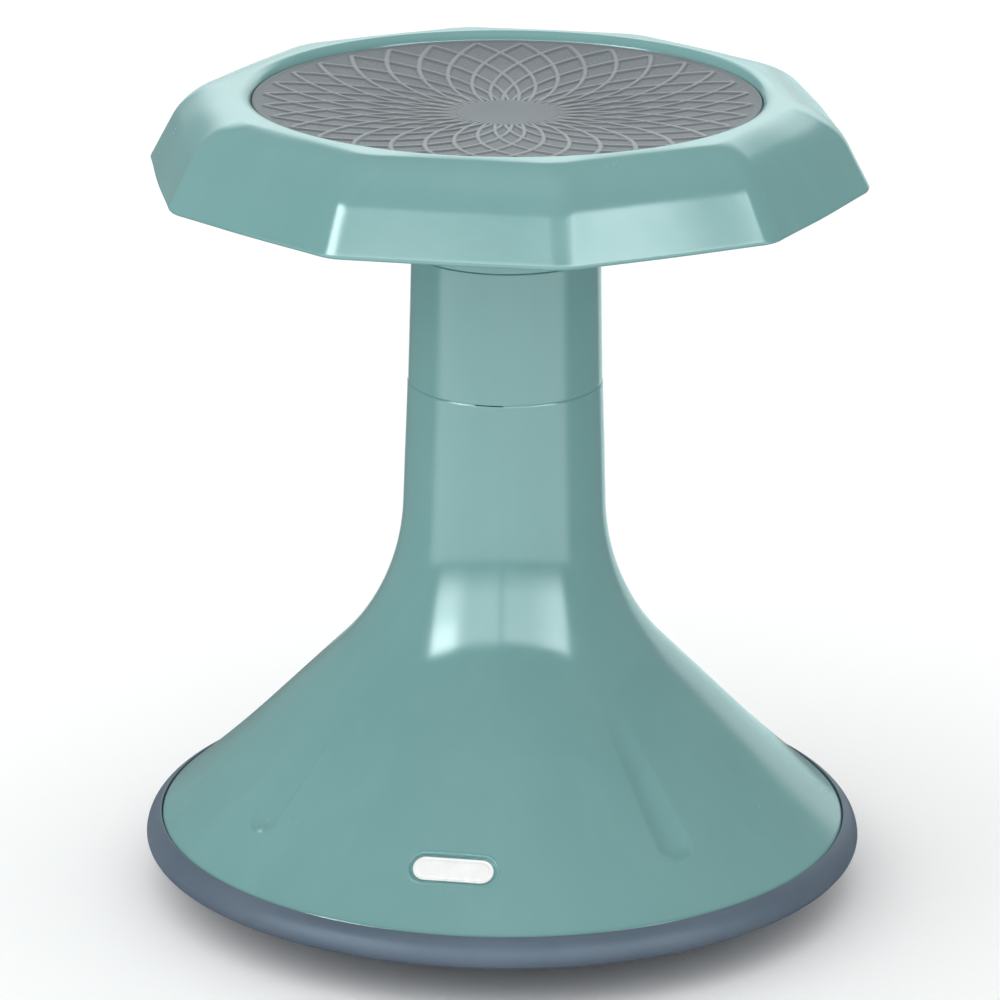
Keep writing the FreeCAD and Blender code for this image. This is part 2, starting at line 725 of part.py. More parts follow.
def make_base_shell():
    outer = turned_solid("base_outer", [
        (0, dim.lip_z),
        (dim.lip_radius, dim.lip_z),
        *wall_points(0.0),
        (dim.base_top_radius, base_top_z - 0.4),
        (dim.base_top_radius - 0.4, base_top_z),
        (0, base_top_z)])
    ledge_z = dim.lower_seam_z - dim.ring_depth - dim.play   # carries the lower lock ring
    inner = turned_solid("base_inner", [
        (0, dim.lip_z - 1.0),
        (dim.lip_radius - dim.base_wall, dim.lip_z - 1.0),
        *wall_points(dim.base_wall),
        (ring_socket, dim.lower_seam_z - dim.ring_depth - 8.0),
        (ring_socket - 3.0, ledge_z),
        (ring_socket, ledge_z),
        (ring_socket, base_top_z + 1.0),
        (0, base_top_z + 1.0)])

    # flutes, deepest at the foot, and the badge pocket, each with a backing
    # that keeps wall behind it
    cuts, backs = [], []
    for k, azimuth in enumerate(FLUTE_AZIMUTHS):
        cuts += trough("flute%d" % (k + 1), 0.0, azimuth)
        backs += trough("flute_back%d" % (k + 1), 2.6, azimuth)
    cuts += pill("badge_pocket", length=40.5, width=14.6, lift=4.0, depth=4.0 + POCKET_DEPTH)
    backs += pill("badge_back", length=46.0, width=20.0, lift=0.5, depth=5.0)

    # a screw boss and a radial rib at each foot screw
    bosses, pilots, ribs = [], [], []
    boss_z = (dim.foot_seat_z + dim.play).value
    for k in range(FOOT_SCREWS):
        spin = Rotation(Vector(0, 0, 1), FOOT_STEP * (k + 0.5))
        spot = spin.multVec(Vector(dim.foot_screw_circle.value, 0, 0))
        bosses.append(primitive(
            "Cylinder", "foot_boss%d" % (k + 1),
            Placement(spot + Vector(0, 0, boss_z), Rotation()),
            Radius=BOSS_RADIUS, Height=60.0))
        pilots.append(primitive(
            "Cylinder", "foot_pilot%d" % (k + 1),
            Placement(spot + Vector(0, 0, boss_z - 1.0), Rotation()),
            Radius=dim.screw_shank + dim.play, Height=19.0))
        rib_corner = spin.multVec(Vector(RIB_START_R, -BASE_RIB_WALL / 2, 0))
        ribs.append(primitive(
            "Box", "base_rib%d" % (k + 1),
            Placement(rib_corner + Vector(0, 0, 45.0), spin),
            Length=110.0, Width=BASE_RIB_WALL, Height=130.0))
    # the core keeps the ribs off the bore, the cone makes them follow the wall
    core = primitive("Cylinder", "base_core", Placement(), Radius=RIB_START_R, Height=220.0)
    trim = primitive("Cone", "base_trim", Placement(Vector(0, 0, 44.0), Rotation()),
                     Radius1=130.0, Radius2=40.0, Height=100.0)
    rib_set = cut("base_ribs_cut", fuse("base_ribs", ribs), fuse("rib_clear", [core, trim]))
    inside = fuse("base_inside", [rib_set] + bosses + backs)
    rough = cut("base_rough", outer, cut("base_hollow", inner, inside))

    # shallow notch in the front of the top edge
    notch = primitive(
        "Box", "seam_notch",
        Placement(Vector(-11.0, -50.0, base_top_z.value - 0.7), Rotation()),
        Length=22.0, Width=8.0, Height=2.0)
    return cut("base_shell", rough, fuse("base_cuts", cuts + pilots + [notch]))


def make_badge():
    wall = dim.badge_wall.value
    badge = fuse("name_badge", pill(
        "badge", dim.badge_length.value, dim.badge_width.value,
        lift=wall + dim.play.value - POCKET_DEPTH, depth=wall))
    badge.Refine = True
    return badge


# ------------------------------------------------------------- boot and pan
BOOT_EDGE_R = 165.9                    # the dome ends here
PAN_R = 157.0
TREAD_RADII = (52.0, 76.0, 100.0, 124.0, 146.0)
PAN_RING_R = 60.0
PAN_RIB_WALL = 2.4
CBORE_DEPTH = 4.5
dome_sphere = dim.dome_radius.value
land_sink = dome_sphere - math.sqrt(dome_sphere ** 2 - dim.land_radius.value ** 2)
boot_top = dim.boot_wall.value         # offsets up from the dome
pan_low = boot_top + dim.play.value
pan_top = pan_low + dim.pan_wall.value


def dome(radius, offset=0.0):
    """Height of the dome at a radius, moved up by offset along its normal."""
    return dome_sphere - land_sink - math.sqrt((dome_sphere - offset) ** 2 - radius * radius)


def make_boot():
    body = new_body("rubber_foot")
    gap = 2 * dim.play.value
    seam_r = dim.lip_radius + dim.play
    edge_low_z = dome(BOOT_EDGE_R)
    step_z = dome(PAN_R, boot_top + dim.pan_wall.value + gap) + 1.2
    body.BaseFeature = turned_solid("boot", [
        (0, 0),
        (dim.land_radius, 0, dim.dome_radius, -1),
        (BOOT_EDGE_R, edge_low_z, 3.6, -1),
        (dim.bulge_radius, edge_low_z + 3.4, 12.3, -1),
        (seam_r + 0.6, dim.lip_z + 3.0),
        (seam_r, dim.lip_z + 2.8),
        (seam_r, dim.lip_z - dim.play),
        (PAN_R - 7.0, dim.lip_z - dim.play),
        (PAN_R - 7.0, step_z),
        (PAN_R + gap, step_z),
        (PAN_R + gap, dome(PAN_R, boot_top), dim.dome_radius - dim.boot_wall, 1),
        (0, dome(0, boot_top))])
    for k, radius in enumerate(TREAD_RADII):
        z = dome(radius)
        turned(body, "tread%d" % (k + 1), [
            (radius - 1.4, z - 2.0), (radius + 1.4, z - 2.0),
            (radius + 1.0, z + 1.5), (radius - 1.0, z + 1.5)], cut=True)
    return body


def make_pan():
    body = new_body("base_pan")
    body.BaseFeature = turned_solid("pan", [
        (0, dome(0, pan_low), dim.dome_radius - pan_low, -1),
        (PAN_R, dome(PAN_R, pan_low)),
        (PAN_R, dome(PAN_R, pan_top)),
        (PAN_R - 0.01, dome(PAN_R - 0.01, pan_top), dim.dome_radius - pan_top, 1),
        (0, dome(0, pan_top))])

    # screw bosses, bored and counterbored from below
    angle = math.radians(FOOT_STEP / 2)
    x = dim.foot_screw_circle * math.cos(angle)
    y = dim.foot_screw_circle * math.sin(angle)
    boss_z = dome(dim.foot_screw_circle.value, pan_low) + 1.9
    seat_z = dim.foot_seat_z
    boss = disc(body, "pan_boss", x, y, 7.0, boss_z, seat_z - boss_z, suffix="_plan")
    polar(body, "pan_bosses", boss, FOOT_SCREWS)
    bore = disc(body, "pan_bore", x, y, dim.screw_shank + 0.3, seat_z + 1.0, 16.0,
                suffix="_plan", cut=True)
    polar(body, "pan_bores", bore, FOOT_SCREWS)
    cbore = disc(body, "pan_cbore", x, y, dim.screw_head + 0.5, seat_z - CBORE_DEPTH, 14.0,
                 suffix="_plan", cut=True)
    polar(body, "pan_cbores", cbore, FOOT_SCREWS)

    # radial ribs and a ring rib on the upper face
    inner_z, outer_z = dome(20.0, pan_top), dome(150.0, pan_top)
    rib = upright(body, "pan_rib", [
        (20.0, inner_z - 1.0), (150.0, outer_z - 1.0),
        (146.0, outer_z + 3.5), (24.0, inner_z + 9.0)], PAN_RIB_WALL)
    polar(body, "pan_ribs", rib, 8)
    ring_z = dome(PAN_RING_R, pan_top)
    inside, outside = PAN_RING_R - PAN_RIB_WALL / 2, PAN_RING_R + PAN_RIB_WALL / 2
    turned(body, "pan_ring", [
        (inside, ring_z - 1.0), (outside, ring_z - 1.0),
        (outside, ring_z + 7.0), (inside, ring_z + 7.0)])
    return body


def make_foot_screws():
    seat_z = dim.foot_seat_z - CBORE_DEPTH - dim.play
    screw = make_screw("foot_screw_one", dim.foot_screw_circle, seat_z, 20.0)
    return ring_of("foot_screws", screw, FOOT_SCREWS, first=FOOT_STEP / 2)


# ---------------------------------------------------- build, check and export
parts = [
    make_seat_shell(),
    make_cushion("seat_pad", "skin", drop=0.0, wall=dim.skin_wall),
    make_cushion("pad_foam", "foam", drop=dim.skin_wall + dim.play, wall=dim.foam_wall,
                 inset=0.6, edge_drop=0.12),
    make_hub(),
    make_hub_screws(),
    make_hub_washers(),
    make_lock_ring("upper_lock_ring", dim.upper_seam_z),
    make_neck(),
    make_lock_ring("lower_lock_ring", dim.lower_seam_z),
    make_base_shell(),
    make_badge(),
    make_boot(),
    make_pan(),
    make_foot_screws(),
]
doc.recompute()
failed = ["%s: %s" % (obj.Name, obj.getStatusString()) for obj in doc.Objects
          if "Invalid" in obj.State or "Error" in obj.State]
if failed:
    raise RuntimeError("features in error: %s" % failed)
faults = [part.Label for part in parts
          if part.Shape.isNull() or not part.Shape.isValid() or not part.Shape.Solids]
if faults:
    raise RuntimeError("bad shapes: %s" % faults)
for part in parts:
    part.Shape.exportStep("parts/%s.step" % part.Label)
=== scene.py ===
"""A round stool: a ten-sided teal seat with a grip pad, a neck, and a flared base in a
rubber boot. It stands on z = 0 with its axis on Z and its front towards -Y.
Shapes are worked out in millimetres; Blender gets metres. A profile is a list of (r, z)."""
import json
import math

import bmesh
import bpy
import numpy as np
from mathutils import Matrix, Vector


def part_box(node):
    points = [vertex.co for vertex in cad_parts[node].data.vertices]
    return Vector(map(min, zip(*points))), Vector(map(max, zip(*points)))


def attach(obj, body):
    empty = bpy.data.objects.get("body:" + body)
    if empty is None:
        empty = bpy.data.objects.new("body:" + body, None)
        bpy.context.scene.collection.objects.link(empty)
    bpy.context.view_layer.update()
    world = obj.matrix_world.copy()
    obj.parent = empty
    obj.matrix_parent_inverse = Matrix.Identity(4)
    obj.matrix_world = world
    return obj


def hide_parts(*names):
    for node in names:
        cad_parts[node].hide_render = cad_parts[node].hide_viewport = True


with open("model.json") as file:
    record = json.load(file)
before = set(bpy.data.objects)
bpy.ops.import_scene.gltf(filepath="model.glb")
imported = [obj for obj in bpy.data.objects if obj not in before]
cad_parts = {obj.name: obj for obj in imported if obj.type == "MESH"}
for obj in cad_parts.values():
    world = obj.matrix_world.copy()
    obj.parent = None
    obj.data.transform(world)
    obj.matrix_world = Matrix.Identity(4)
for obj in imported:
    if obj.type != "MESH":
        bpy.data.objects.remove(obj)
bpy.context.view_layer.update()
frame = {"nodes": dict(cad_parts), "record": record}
MM = 0.001
PI = math.pi
FRONT = math.radians(-90.0)


# ------------------------------------------------------------- CAD heights
def z_span(node):
    """Lowest and highest z of a CAD piece."""
    return [corner[2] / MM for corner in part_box(node)]


SEAT_LOW, SEAT_TOP = z_span("seat_shell")
LIP_Z, LOW_SEAM = z_span("base_shell")
UP_SEAM = z_span("neck_tube")[1]
HUB_TOP = z_span("seat_hub")[1]
BOOT_TOP = z_span("rubber_foot")[1]
PAD_EDGE_Z = z_span("seat_pad")[1]
WALL = 3.5                                # of the seat and the base


# -------------------------------------------------------------- mesh tools
def mesh_object(name, points, faces, sharp=32.0, closed=True):
    """Smooth-shaded object; a closed mesh gets its faces turned outward."""
    mesh = bpy.data.meshes.new(name)
    mesh.from_pydata((np.asarray(points, float) * MM).tolist(), [], faces)
    mesh.validate()
    if closed:
        editable = bmesh.new()
        editable.from_mesh(mesh)
        bmesh.ops.recalc_face_normals(editable, faces=editable.faces)
        editable.to_mesh(mesh)
        editable.free()
    mesh.shade_smooth()
    if sharp:
        mesh.set_sharp_from_angle(angle=math.radians(sharp))
    ob = bpy.data.objects.new(name, mesh)
    bpy.context.scene.collection.objects.link(ob)
    return ob


def wrap(name, grid, start="open", end="open", sharp=32.0, closed=True):
    """Surface from grid[row, column, xyz]; columns run round the axis and close.
    start and end are "open", "pole" (first or last row is one point) or
    "join" (the last row joins the first). Returns the object and the vertex
    number of each grid point."""
    rows, columns = grid.shape[:2]
    points, index = [], []
    for i in range(rows):
        if (i == 0 and start == "pole") or (i == rows - 1 and end == "pole"):
            index.append([len(points)] * columns)
            points.append(grid[i, 0])
        else:
            index.append(list(range(len(points), len(points) + columns)))
            points.extend(grid[i])
    index = np.array(index)
    pairs = [(i, i + 1) for i in range(rows - 1)]
    if end == "join":
        pairs.append((rows - 1, 0))
    faces = []
    for i, j in pairs:
        this, other = index[i], index[j]
        this_next, other_next = np.roll(this, -1), np.roll(other, -1)
        if this[0] == this[1]:
            corners = (this, other_next, other)
        elif other[0] == other[1]:
            corners = (this, this_next, other)
        else:
            corners = (this, this_next, other_next, other)
        faces.extend(zip(*(corner.tolist() for corner in corners)))
    return mesh_object(name, np.array(points), faces, sharp, closed), index


def full_turn(count):
    return np.linspace(0, 2 * PI, count, endpoint=False)


def bands(*spans):
    """Values run through (start, stop, count) spans, each without its stop."""
    return np.concatenate([np.linspace(*span, endpoint=False) for span in spans])


def revolve(profile, azimuths):
    profile = np.asarray(profile, float)
    grid = np.empty((len(profile), len(azimuths), 3))
    grid[:, :, 0] = profile[:, 0:1] * np.cos(azimuths)
    grid[:, :, 1] = profile[:, 0:1] * np.sin(azimuths)
    grid[:, :, 2] = profile[:, 1:2]
    return grid


def turned(r, side, z, azimuth):
    """The point (r, side, z) turned about the Z axis."""
    cos, sin = math.cos(azimuth), math.sin(azimuth)
    return (r * cos - side * sin, r * sin + side * cos, z)


def on_circle(r, z, radius, angles):
    """Profile points on a circle about (r, z), angles in radians."""
    return [(r + radius * math.cos(a), z + radius * math.sin(a)) for a in angles]


def arc(r, z, radius, start, end, count):
    """Profile points of an arc about (r, z), start and end in degrees."""
    return on_circle(r, z, radius, np.radians(np.linspace(start, end, count)))


def line(start, end, step):
    """Evenly spaced profile points, about one step apart."""
    run, rise = end[0] - start[0], end[1] - start[1]
    last = max(2, int(math.hypot(run, rise) / step) + 1) - 1
    return [(start[0] + run * k / last, start[1] + rise * k / last) for k in range(last + 1)]


def clean(points, gap=1e-4):
    """Drop points that repeat the one before."""
    kept = [points[0]]
    for point in points[1:]:
        if abs(point[0] - kept[-1][0]) + abs(point[1] - kept[-1][1]) > gap:
            kept.append(point)
    return kept


def smooth(x, start, end):
    """Smooth step from 0 at start to 1 at end."""
    share = np.clip((x - start) / (end - start), 0, 1)
    return share * share * (3 - 2 * share)


def bevel(ob, width, segments, angle):
    modifier = ob.modifiers.new("edge", "BEVEL")
    modifier.width = width * MM
    modifier.segments = segments
    modifier.limit_method = "ANGLE"
    modifier.angle_limit = math.radians(angle)
    bpy.context.view_layer.objects.active = ob
    for other in bpy.context.selected_objects:
        other.select_set(False)
    ob.select_set(True)
    bpy.ops.object.modifier_apply(modifier=modifier.name)
    ob.select_set(False)


# ---------------------------------------------------------- material tools
DOWN = (1.0, 0.0)                         # a ramp that falls from 1 to 0


class Tree:
    """Short forms for building node trees."""

    def __init__(self, tree):
        self.tree = tree

    def node(self, kind, **settings):
        node = self.tree.nodes.new(kind)
        for name, value in settings.items():
            setattr(node, name, value)
        return node

    def put(self, socket, value):
        """Link a socket, or set a plain value."""
        if isinstance(value, bpy.types.NodeSocket):
            self.tree.links.new(value, socket)
        else:
            socket.default_value = value

    def fill(self, node, values):
        for name, value in values.items():
            self.put(node.inputs[name], value)

    def math(self, operation, a, b=0.0):
        node = self.node("ShaderNodeMath", operation=operation)
        self.put(node.inputs[0], a)
        self.put(node.inputs[1], b)
        return node.outputs[0]

    def add(self, a, b):
        return self.math("ADD", a, b)

    def multiply(self, a, b):
        return self.math("MULTIPLY", a, b)

    def ramp(self, value, over, to=(0.0, 1.0)):
        """Smooth change through the pair `to` while value runs `over` a range."""
        node = self.node("ShaderNodeMapRange", interpolation_type="SMOOTHSTEP")
        self.fill(node, {"Value": value, "From Min": over[0], "From Max": over[1],
                         "To Min": to[0], "To Max": to[1]})
        return node.outputs["Result"]

    def mix(self, factor, a, b):
        node = self.node("ShaderNodeMix", data_type="RGBA")
        self.put(node.inputs["Factor"], factor)
        self.put(node.inputs[6], a)
        self.put(node.inputs[7], b)
        return node.outputs[2]

    def mix_shaders(self, factor, a, b):
        node = self.node("ShaderNodeMixShader")
        for socket, value in zip(node.inputs, (factor, a, b)):
            self.put(socket, value)
        return node.outputs[0]

    def noise(self, scale=1.0, detail=2.0, rough=0.5, distortion=0.0, stretch=None):
        """Noise over the object; stretch scales x, y and z apart."""
        coord = self.coord
        if stretch:
            mapping = self.node("ShaderNodeMapping")
            self.fill(mapping, {"Vector": coord, "Scale": stretch})
            coord = mapping.outputs[0]
        node = self.node("ShaderNodeTexNoise")
        self.fill(node, {"Vector": coord, "Scale": scale, "Detail": detail,
                         "Roughness": rough, "Distortion": distortion})
        return node.outputs[0]

    def cells(self, scale):
        node = self.node("ShaderNodeTexVoronoi", feature="F1")
        self.fill(node, {"Vector": self.coord, "Scale": scale})
        return node.outputs["Distance"]

    def bump(self, height, strength, distance, normal=None):
        node = self.node("ShaderNodeBump")
        self.fill(node, {"Strength": strength, "Distance": distance, "Height": height})
        if normal is not None:
            self.put(node.inputs["Normal"], normal)
        return node.outputs[0]

    def axes(self, vector):
        node = self.node("ShaderNodeSeparateXYZ")
        self.put(node.inputs[0], vector)
        return node.outputs

    def azimuth(self, x, y):
        """Degrees from the front (-Y), positive towards +X."""
        return self.multiply(self.math("ARCTAN2", x, self.multiply(y, -1.0)), 180 / PI)


def rgb(red, green, blue):
    return (red, green, blue, 1.0)


def srgb(*levels):
    """Linear colour from 0-255 sRGB levels."""
    def linear(level):
        if level / 255 <= 0.04045:
            return level / 255 / 12.92
        return ((level / 255 + 0.055) / 1.055) ** 2.4
    return rgb(*(linear(level) for level in levels))


def new_material(name):
    """Material, its Tree (reading object coordinates) and Principled node."""
    material = bpy.data.materials.new(name)
    material.use_nodes = True
    tree = Tree(material.node_tree)
    surface = [n for n in tree.tree.nodes if n.type == "BSDF_PRINCIPLED"][0]
    tree.coord = tree.node("ShaderNodeTexCoord").outputs["Object"]
    return material, tree, surface


# --------------------------------------------------------------- materials
def shell_plastic():
    """Glossy moulded polypropylene, teal."""
    material, tree, surface = new_material("shell_plastic")
    broad = tree.noise(scale=9.0, detail=3.0, rough=0.55)
    mottle = tree.noise(scale=60.0, detail=3.0, rough=0.6)
    flow = tree.noise(stretch=(26.0, 26.0, 3.5), detail=4.0, rough=0.6, distortion=0.6)
    colour = tree.mix(tree.ramp(broad, over=(0.3, 0.7)),
                      srgb(112, 157, 156), srgb(117, 161, 160))
    colour = tree.mix(tree.ramp(flow, over=(0.42, 0.72), to=(0.0, 0.35)),
                      colour, srgb(122, 166, 165))
    # paler, duller edges, high on the seat and low on the base only (z in metres)
    geometry = tree.node("ShaderNodeNewGeometry")
    worn = tree.ramp(geometry.outputs["Pointiness"], over=(0.53, 0.60))
    worn = tree.multiply(worn, tree.ramp(mottle, over=(0.4, 0.75), to=(0.15, 0.6)))
    z = tree.axes(tree.coord)["Z"]
    reach = tree.add(tree.ramp(z, over=(0.30, 0.31)),
                     tree.ramp(z, over=(0.036, 0.044), to=DOWN))
    worn = tree.multiply(worn, reach)
    colour = tree.mix(worn, colour, srgb(146, 181, 179))
    rough = tree.add(tree.ramp(mottle, over=(0.3, 0.75), to=(0.12, 0.17)),
                     tree.ramp(broad, over=(0.35, 0.7), to=(0.0, 0.035)))
    worn_roughness, scuff_roughness = 0.12, 0.14
    rough = tree.add(rough, tree.multiply(worn, worn_roughness))
    # faint handling scuffs, in patches
    streaks = tree.noise(stretch=(700.0, 90.0, 900.0))
    scuffs = tree.multiply(tree.ramp(streaks, over=(0.66, 0.74)),
                           tree.ramp(tree.noise(scale=14.0), over=(0.52, 0.68)))
    rough = tree.add(rough, tree.multiply(scuffs, scuff_roughness))
    peel = tree.noise(scale=170.0)
    fine = tree.noise(scale=2600.0)
    wave = tree.noise(scale=24.0, detail=1.0, rough=0.4)
    normal = tree.bump(wave, strength=0.10, distance=0.0012)
    normal = tree.bump(peel, strength=0.10, distance=0.00022, normal=normal)
    normal = tree.bump(fine, strength=0.10, distance=0.00002, normal=normal)
    tree.fill(surface, {"Base Color": colour, "Roughness": rough, "IOR": 1.50,
                        "Normal": normal})
    return material


def pad_rubber():
    """Soft-touch grey elastomer: matt grained ground, smoother raised lines, with painted light:
    the raised lines are painted lighter than the ground.
    """
    material, tree, surface = new_material("pad_rubber")
    ridge = tree.node("ShaderNodeAttribute", attribute_name="ridge").outputs["Fac"]
    broad = tree.noise(scale=16.0, detail=3.0, rough=0.55)
    grain = tree.noise(scale=1500.0, detail=3.0, rough=0.6)
    cells = tree.cells(scale=900.0)
    ground = tree.mix(tree.ramp(broad, over=(0.3, 0.7)),
                      srgb(98, 104, 109), srgb(105, 110, 115))
    ground = tree.mix(tree.ramp(grain, over=(0.35, 0.7), to=(0.0, 0.3)),
                      ground, srgb(90, 95, 100))
    # painted light: a lighter copy of the same rubber for the raised lines
    raised = tree.mix(tree.ramp(broad, over=(0.3, 0.7)),
                      srgb(113, 116, 120), srgb(119, 122, 125))
    colour = tree.mix(tree.ramp(ridge, over=(0.35, 0.9)), ground, raised)
    rough = tree.ramp(ridge, over=(0.3, 0.9), to=(0.56, 0.42))
    rough = tree.add(rough, tree.ramp(grain, over=(0.3, 0.7), to=(-0.04, 0.05)))
    pits = tree.multiply(cells, tree.ramp(ridge, over=(0.2, 0.8), to=(1.0, 0.15)))
    normal = tree.bump(pits, strength=0.55, distance=0.00035)
    normal = tree.bump(grain, strength=0.25, distance=0.0001, normal=normal)
    tree.fill(surface, {"Base Color": colour, "Roughness": rough, "IOR": 1.48,
                        "Sheen Weight": 0.12, "Sheen Roughness": 0.5, "Normal": normal})
    return material


def foot_rubber():
    """Slate thermoplastic rubber, matt with scuffs and dust low down."""
    material, tree, surface = new_material("foot_rubber")
    broad = tree.noise(scale=12.0, detail=4.0, rough=0.6)
    grain = tree.noise(scale=1300.0, rough=0.55)
    scuffs = tree.noise(stretch=(8.0, 8.0, 160.0), detail=4.0, rough=0.6)
    colour = tree.mix(tree.ramp(broad, over=(0.3, 0.72)),
                      srgb(80, 93, 108), srgb(90, 103, 117))
    colour = tree.mix(tree.ramp(scuffs, over=(0.5, 0.78), to=(0.0, 0.4)),
                      colour, srgb(108, 119, 131))
    low = tree.ramp(tree.axes(tree.coord)["Z"], over=(0.004, 0.019), to=DOWN)
    specks = tree.noise(scale=90.0, detail=4.0, rough=0.65)
    dust = tree.multiply(low, tree.ramp(specks, over=(0.42, 0.72), to=(0.0, 0.55)))
    colour = tree.mix(dust, colour, srgb(128, 132, 136))
    dust_roughness = 0.2
    rough = tree.add(tree.ramp(scuffs, over=(0.35, 0.75), to=(0.44, 0.56)),
                     tree.multiply(dust, dust_roughness))
    normal = tree.bump(grain, strength=0.35, distance=0.00009)
    normal = tree.bump(scuffs, strength=0.12, distance=0.0003, normal=normal)
    tree.fill(surface, {"Base Color": colour, "Roughness": rough, "IOR": 1.40,
                        "Normal": normal})
    return material


def foam():
    material, tree, surface = new_material("foam")
    cells = tree.cells(scale=800.0)
    broad = tree.noise(scale=40.0, detail=3.0)
    colour = tree.mix(tree.ramp(broad, over=(0.3, 0.7)),
                      srgb(196, 190, 178), srgb(182, 176, 164))
    colour = tree.mix(tree.ramp(cells, over=(0.1, 0.6), to=(0.45, 0.0)),
                      colour, srgb(120, 114, 104))
    tree.fill(surface, {"Base Color": colour, "Roughness": 0.95,
                        "Normal": tree.bump(cells, strength=0.8, distance=0.0006)})
    return material


def plain(name, dark, light, rough, scale, bump, metal=0.0):
    """Two close shades, with slight changes of roughness and a fine grain."""
    material, tree, surface = new_material(name)
    mottle = tree.noise(scale=scale, detail=3.0, rough=0.6)
    grain = tree.noise(scale=scale * 9.0)
    colour = tree.mix(tree.ramp(mottle, over=(0.3, 0.7)), dark, light)
    rough = tree.add(tree.ramp(mottle, over=(0.3, 0.7), to=(rough - 0.04, rough + 0.05)),
                     tree.ramp(grain, over=(0.3, 0.7), to=(-0.02, 0.03)))
    tree.fill(surface, {"Base Color": colour, "Roughness": rough, "Metallic": metal,
                        "IOR": 1.48,
                        "Normal": tree.bump(grain, strength=0.3, distance=bump)})
    return material


MATERIALS = {
    "shell_plastic": shell_plastic(),
    "pad_rubber": pad_rubber(),
    "foot_rubber": foot_rubber(),
    "foam": foam(),
    "screw_steel": plain("screw_steel", srgb(176, 179, 182), srgb(196, 198, 200),
                         rough=0.30, scale=400.0, bump=0.00002, metal=1.0),
    "lock_plastic": plain("lock_plastic", srgb(214, 211, 201), srgb(222, 219, 210),
                          rough=0.42, scale=120.0, bump=0.00004),
    "badge_white": plain("badge_white", srgb(243, 243, 242), srgb(248, 248, 248),
                         rough=0.24, scale=90.0, bump=0.00001),
    "pan_plastic": plain("pan_plastic", srgb(52, 55, 59), srgb(60, 63, 68),
                         rough=0.5, scale=150.0, bump=0.00008),
}


def dress(ob, slot):
    ob.data.materials.clear()
    ob.data.materials.append(MATERIALS[slot])


def enter(ob, slot, body, replaces=None):
    """Give a piece its material, moving body and the CAD node it stands for."""
    dress(ob, slot)
    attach(ob, body)
    if replaces:
        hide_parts(replaces)


# -------------------------------------------------------------- seat shell
FACETS = 10                               # one of them faces the front
SEAT_LOW_R, SEAT_TOP_R = 160.8, 140.6     # facet line: apothems at both ends
CROWN_R, RIM_R = 34.0, 1.6                # rounds over and under the facets
CORNER_R, INNER_CORNER_R = 20.0, 16.5     # rounds between two facets
FACET_SAG = 0.8                           # the facets are slightly full
SAG_FROM_R = 118.0                        # no fullness at apothems up to this
LEAN = math.atan2(SEAT_LOW_R - SEAT_TOP_R, SEAT_TOP - SEAT_LOW)
CROWN_CENTRE = (SEAT_TOP_R - CROWN_R * math.tan(PI / 4 - LEAN / 2), SEAT_TOP - CROWN_R)
PAD_R = 117.0                             # pad recess
PAD_DISH = 7.5                            # depth of the pad's hollow
DISH_R = (PAD_R ** 2 + PAD_DISH ** 2) / (2 * PAD_DISH)
DECK_DROP, DECK_T = 8.6, 3.0              # deck below the hollow; its thickness


def pad_dish(r):
    """Height of the spherical hollow in the pad."""
    return PAD_EDGE_Z - PAD_DISH + DISH_R - np.sqrt(DISH_R * DISH_R - r * r)


def deck_middle(r):
    return pad_dish(r) - DECK_DROP - DECK_T / 2


def facet_r(z):
    """Apothem of the leaning facets."""
    return SEAT_LOW_R - math.tan(LEAN) * (z - SEAT_LOW)


def on_crown(angle, inset=0.0):
    return on_circle(*CROWN_CENTRE, CROWN_R - inset, [angle])[0]


def decagon(azimuths, apothem, corner_r):
    """Radius of a round-cornered decagon at each azimuth."""
    step = 2 * PI / FACETS
    half = step / 2
    off = np.abs((azimuths - FRONT + half) % step - half)   # from the facet's middle
    centre_r = (apothem - corner_r) / math.cos(half)
    from_corner = half - off
    reach = np.maximum(corner_r * corner_r - (centre_r * np.sin(from_corner)) ** 2, 0.0)
    corner = centre_r * np.cos(from_corner) + np.sqrt(reach)
    limit = (1 - corner_r / apothem) * math.tan(half)
    fullness = np.clip(1 - (off / math.atan(limit)) ** 2, 0, 1) ** 2
    flat = apothem / np.cos(off) + FACET_SAG * fullness * (apothem > SAG_FROM_R)
    return np.where(np.tan(off) <= limit, flat, corner)


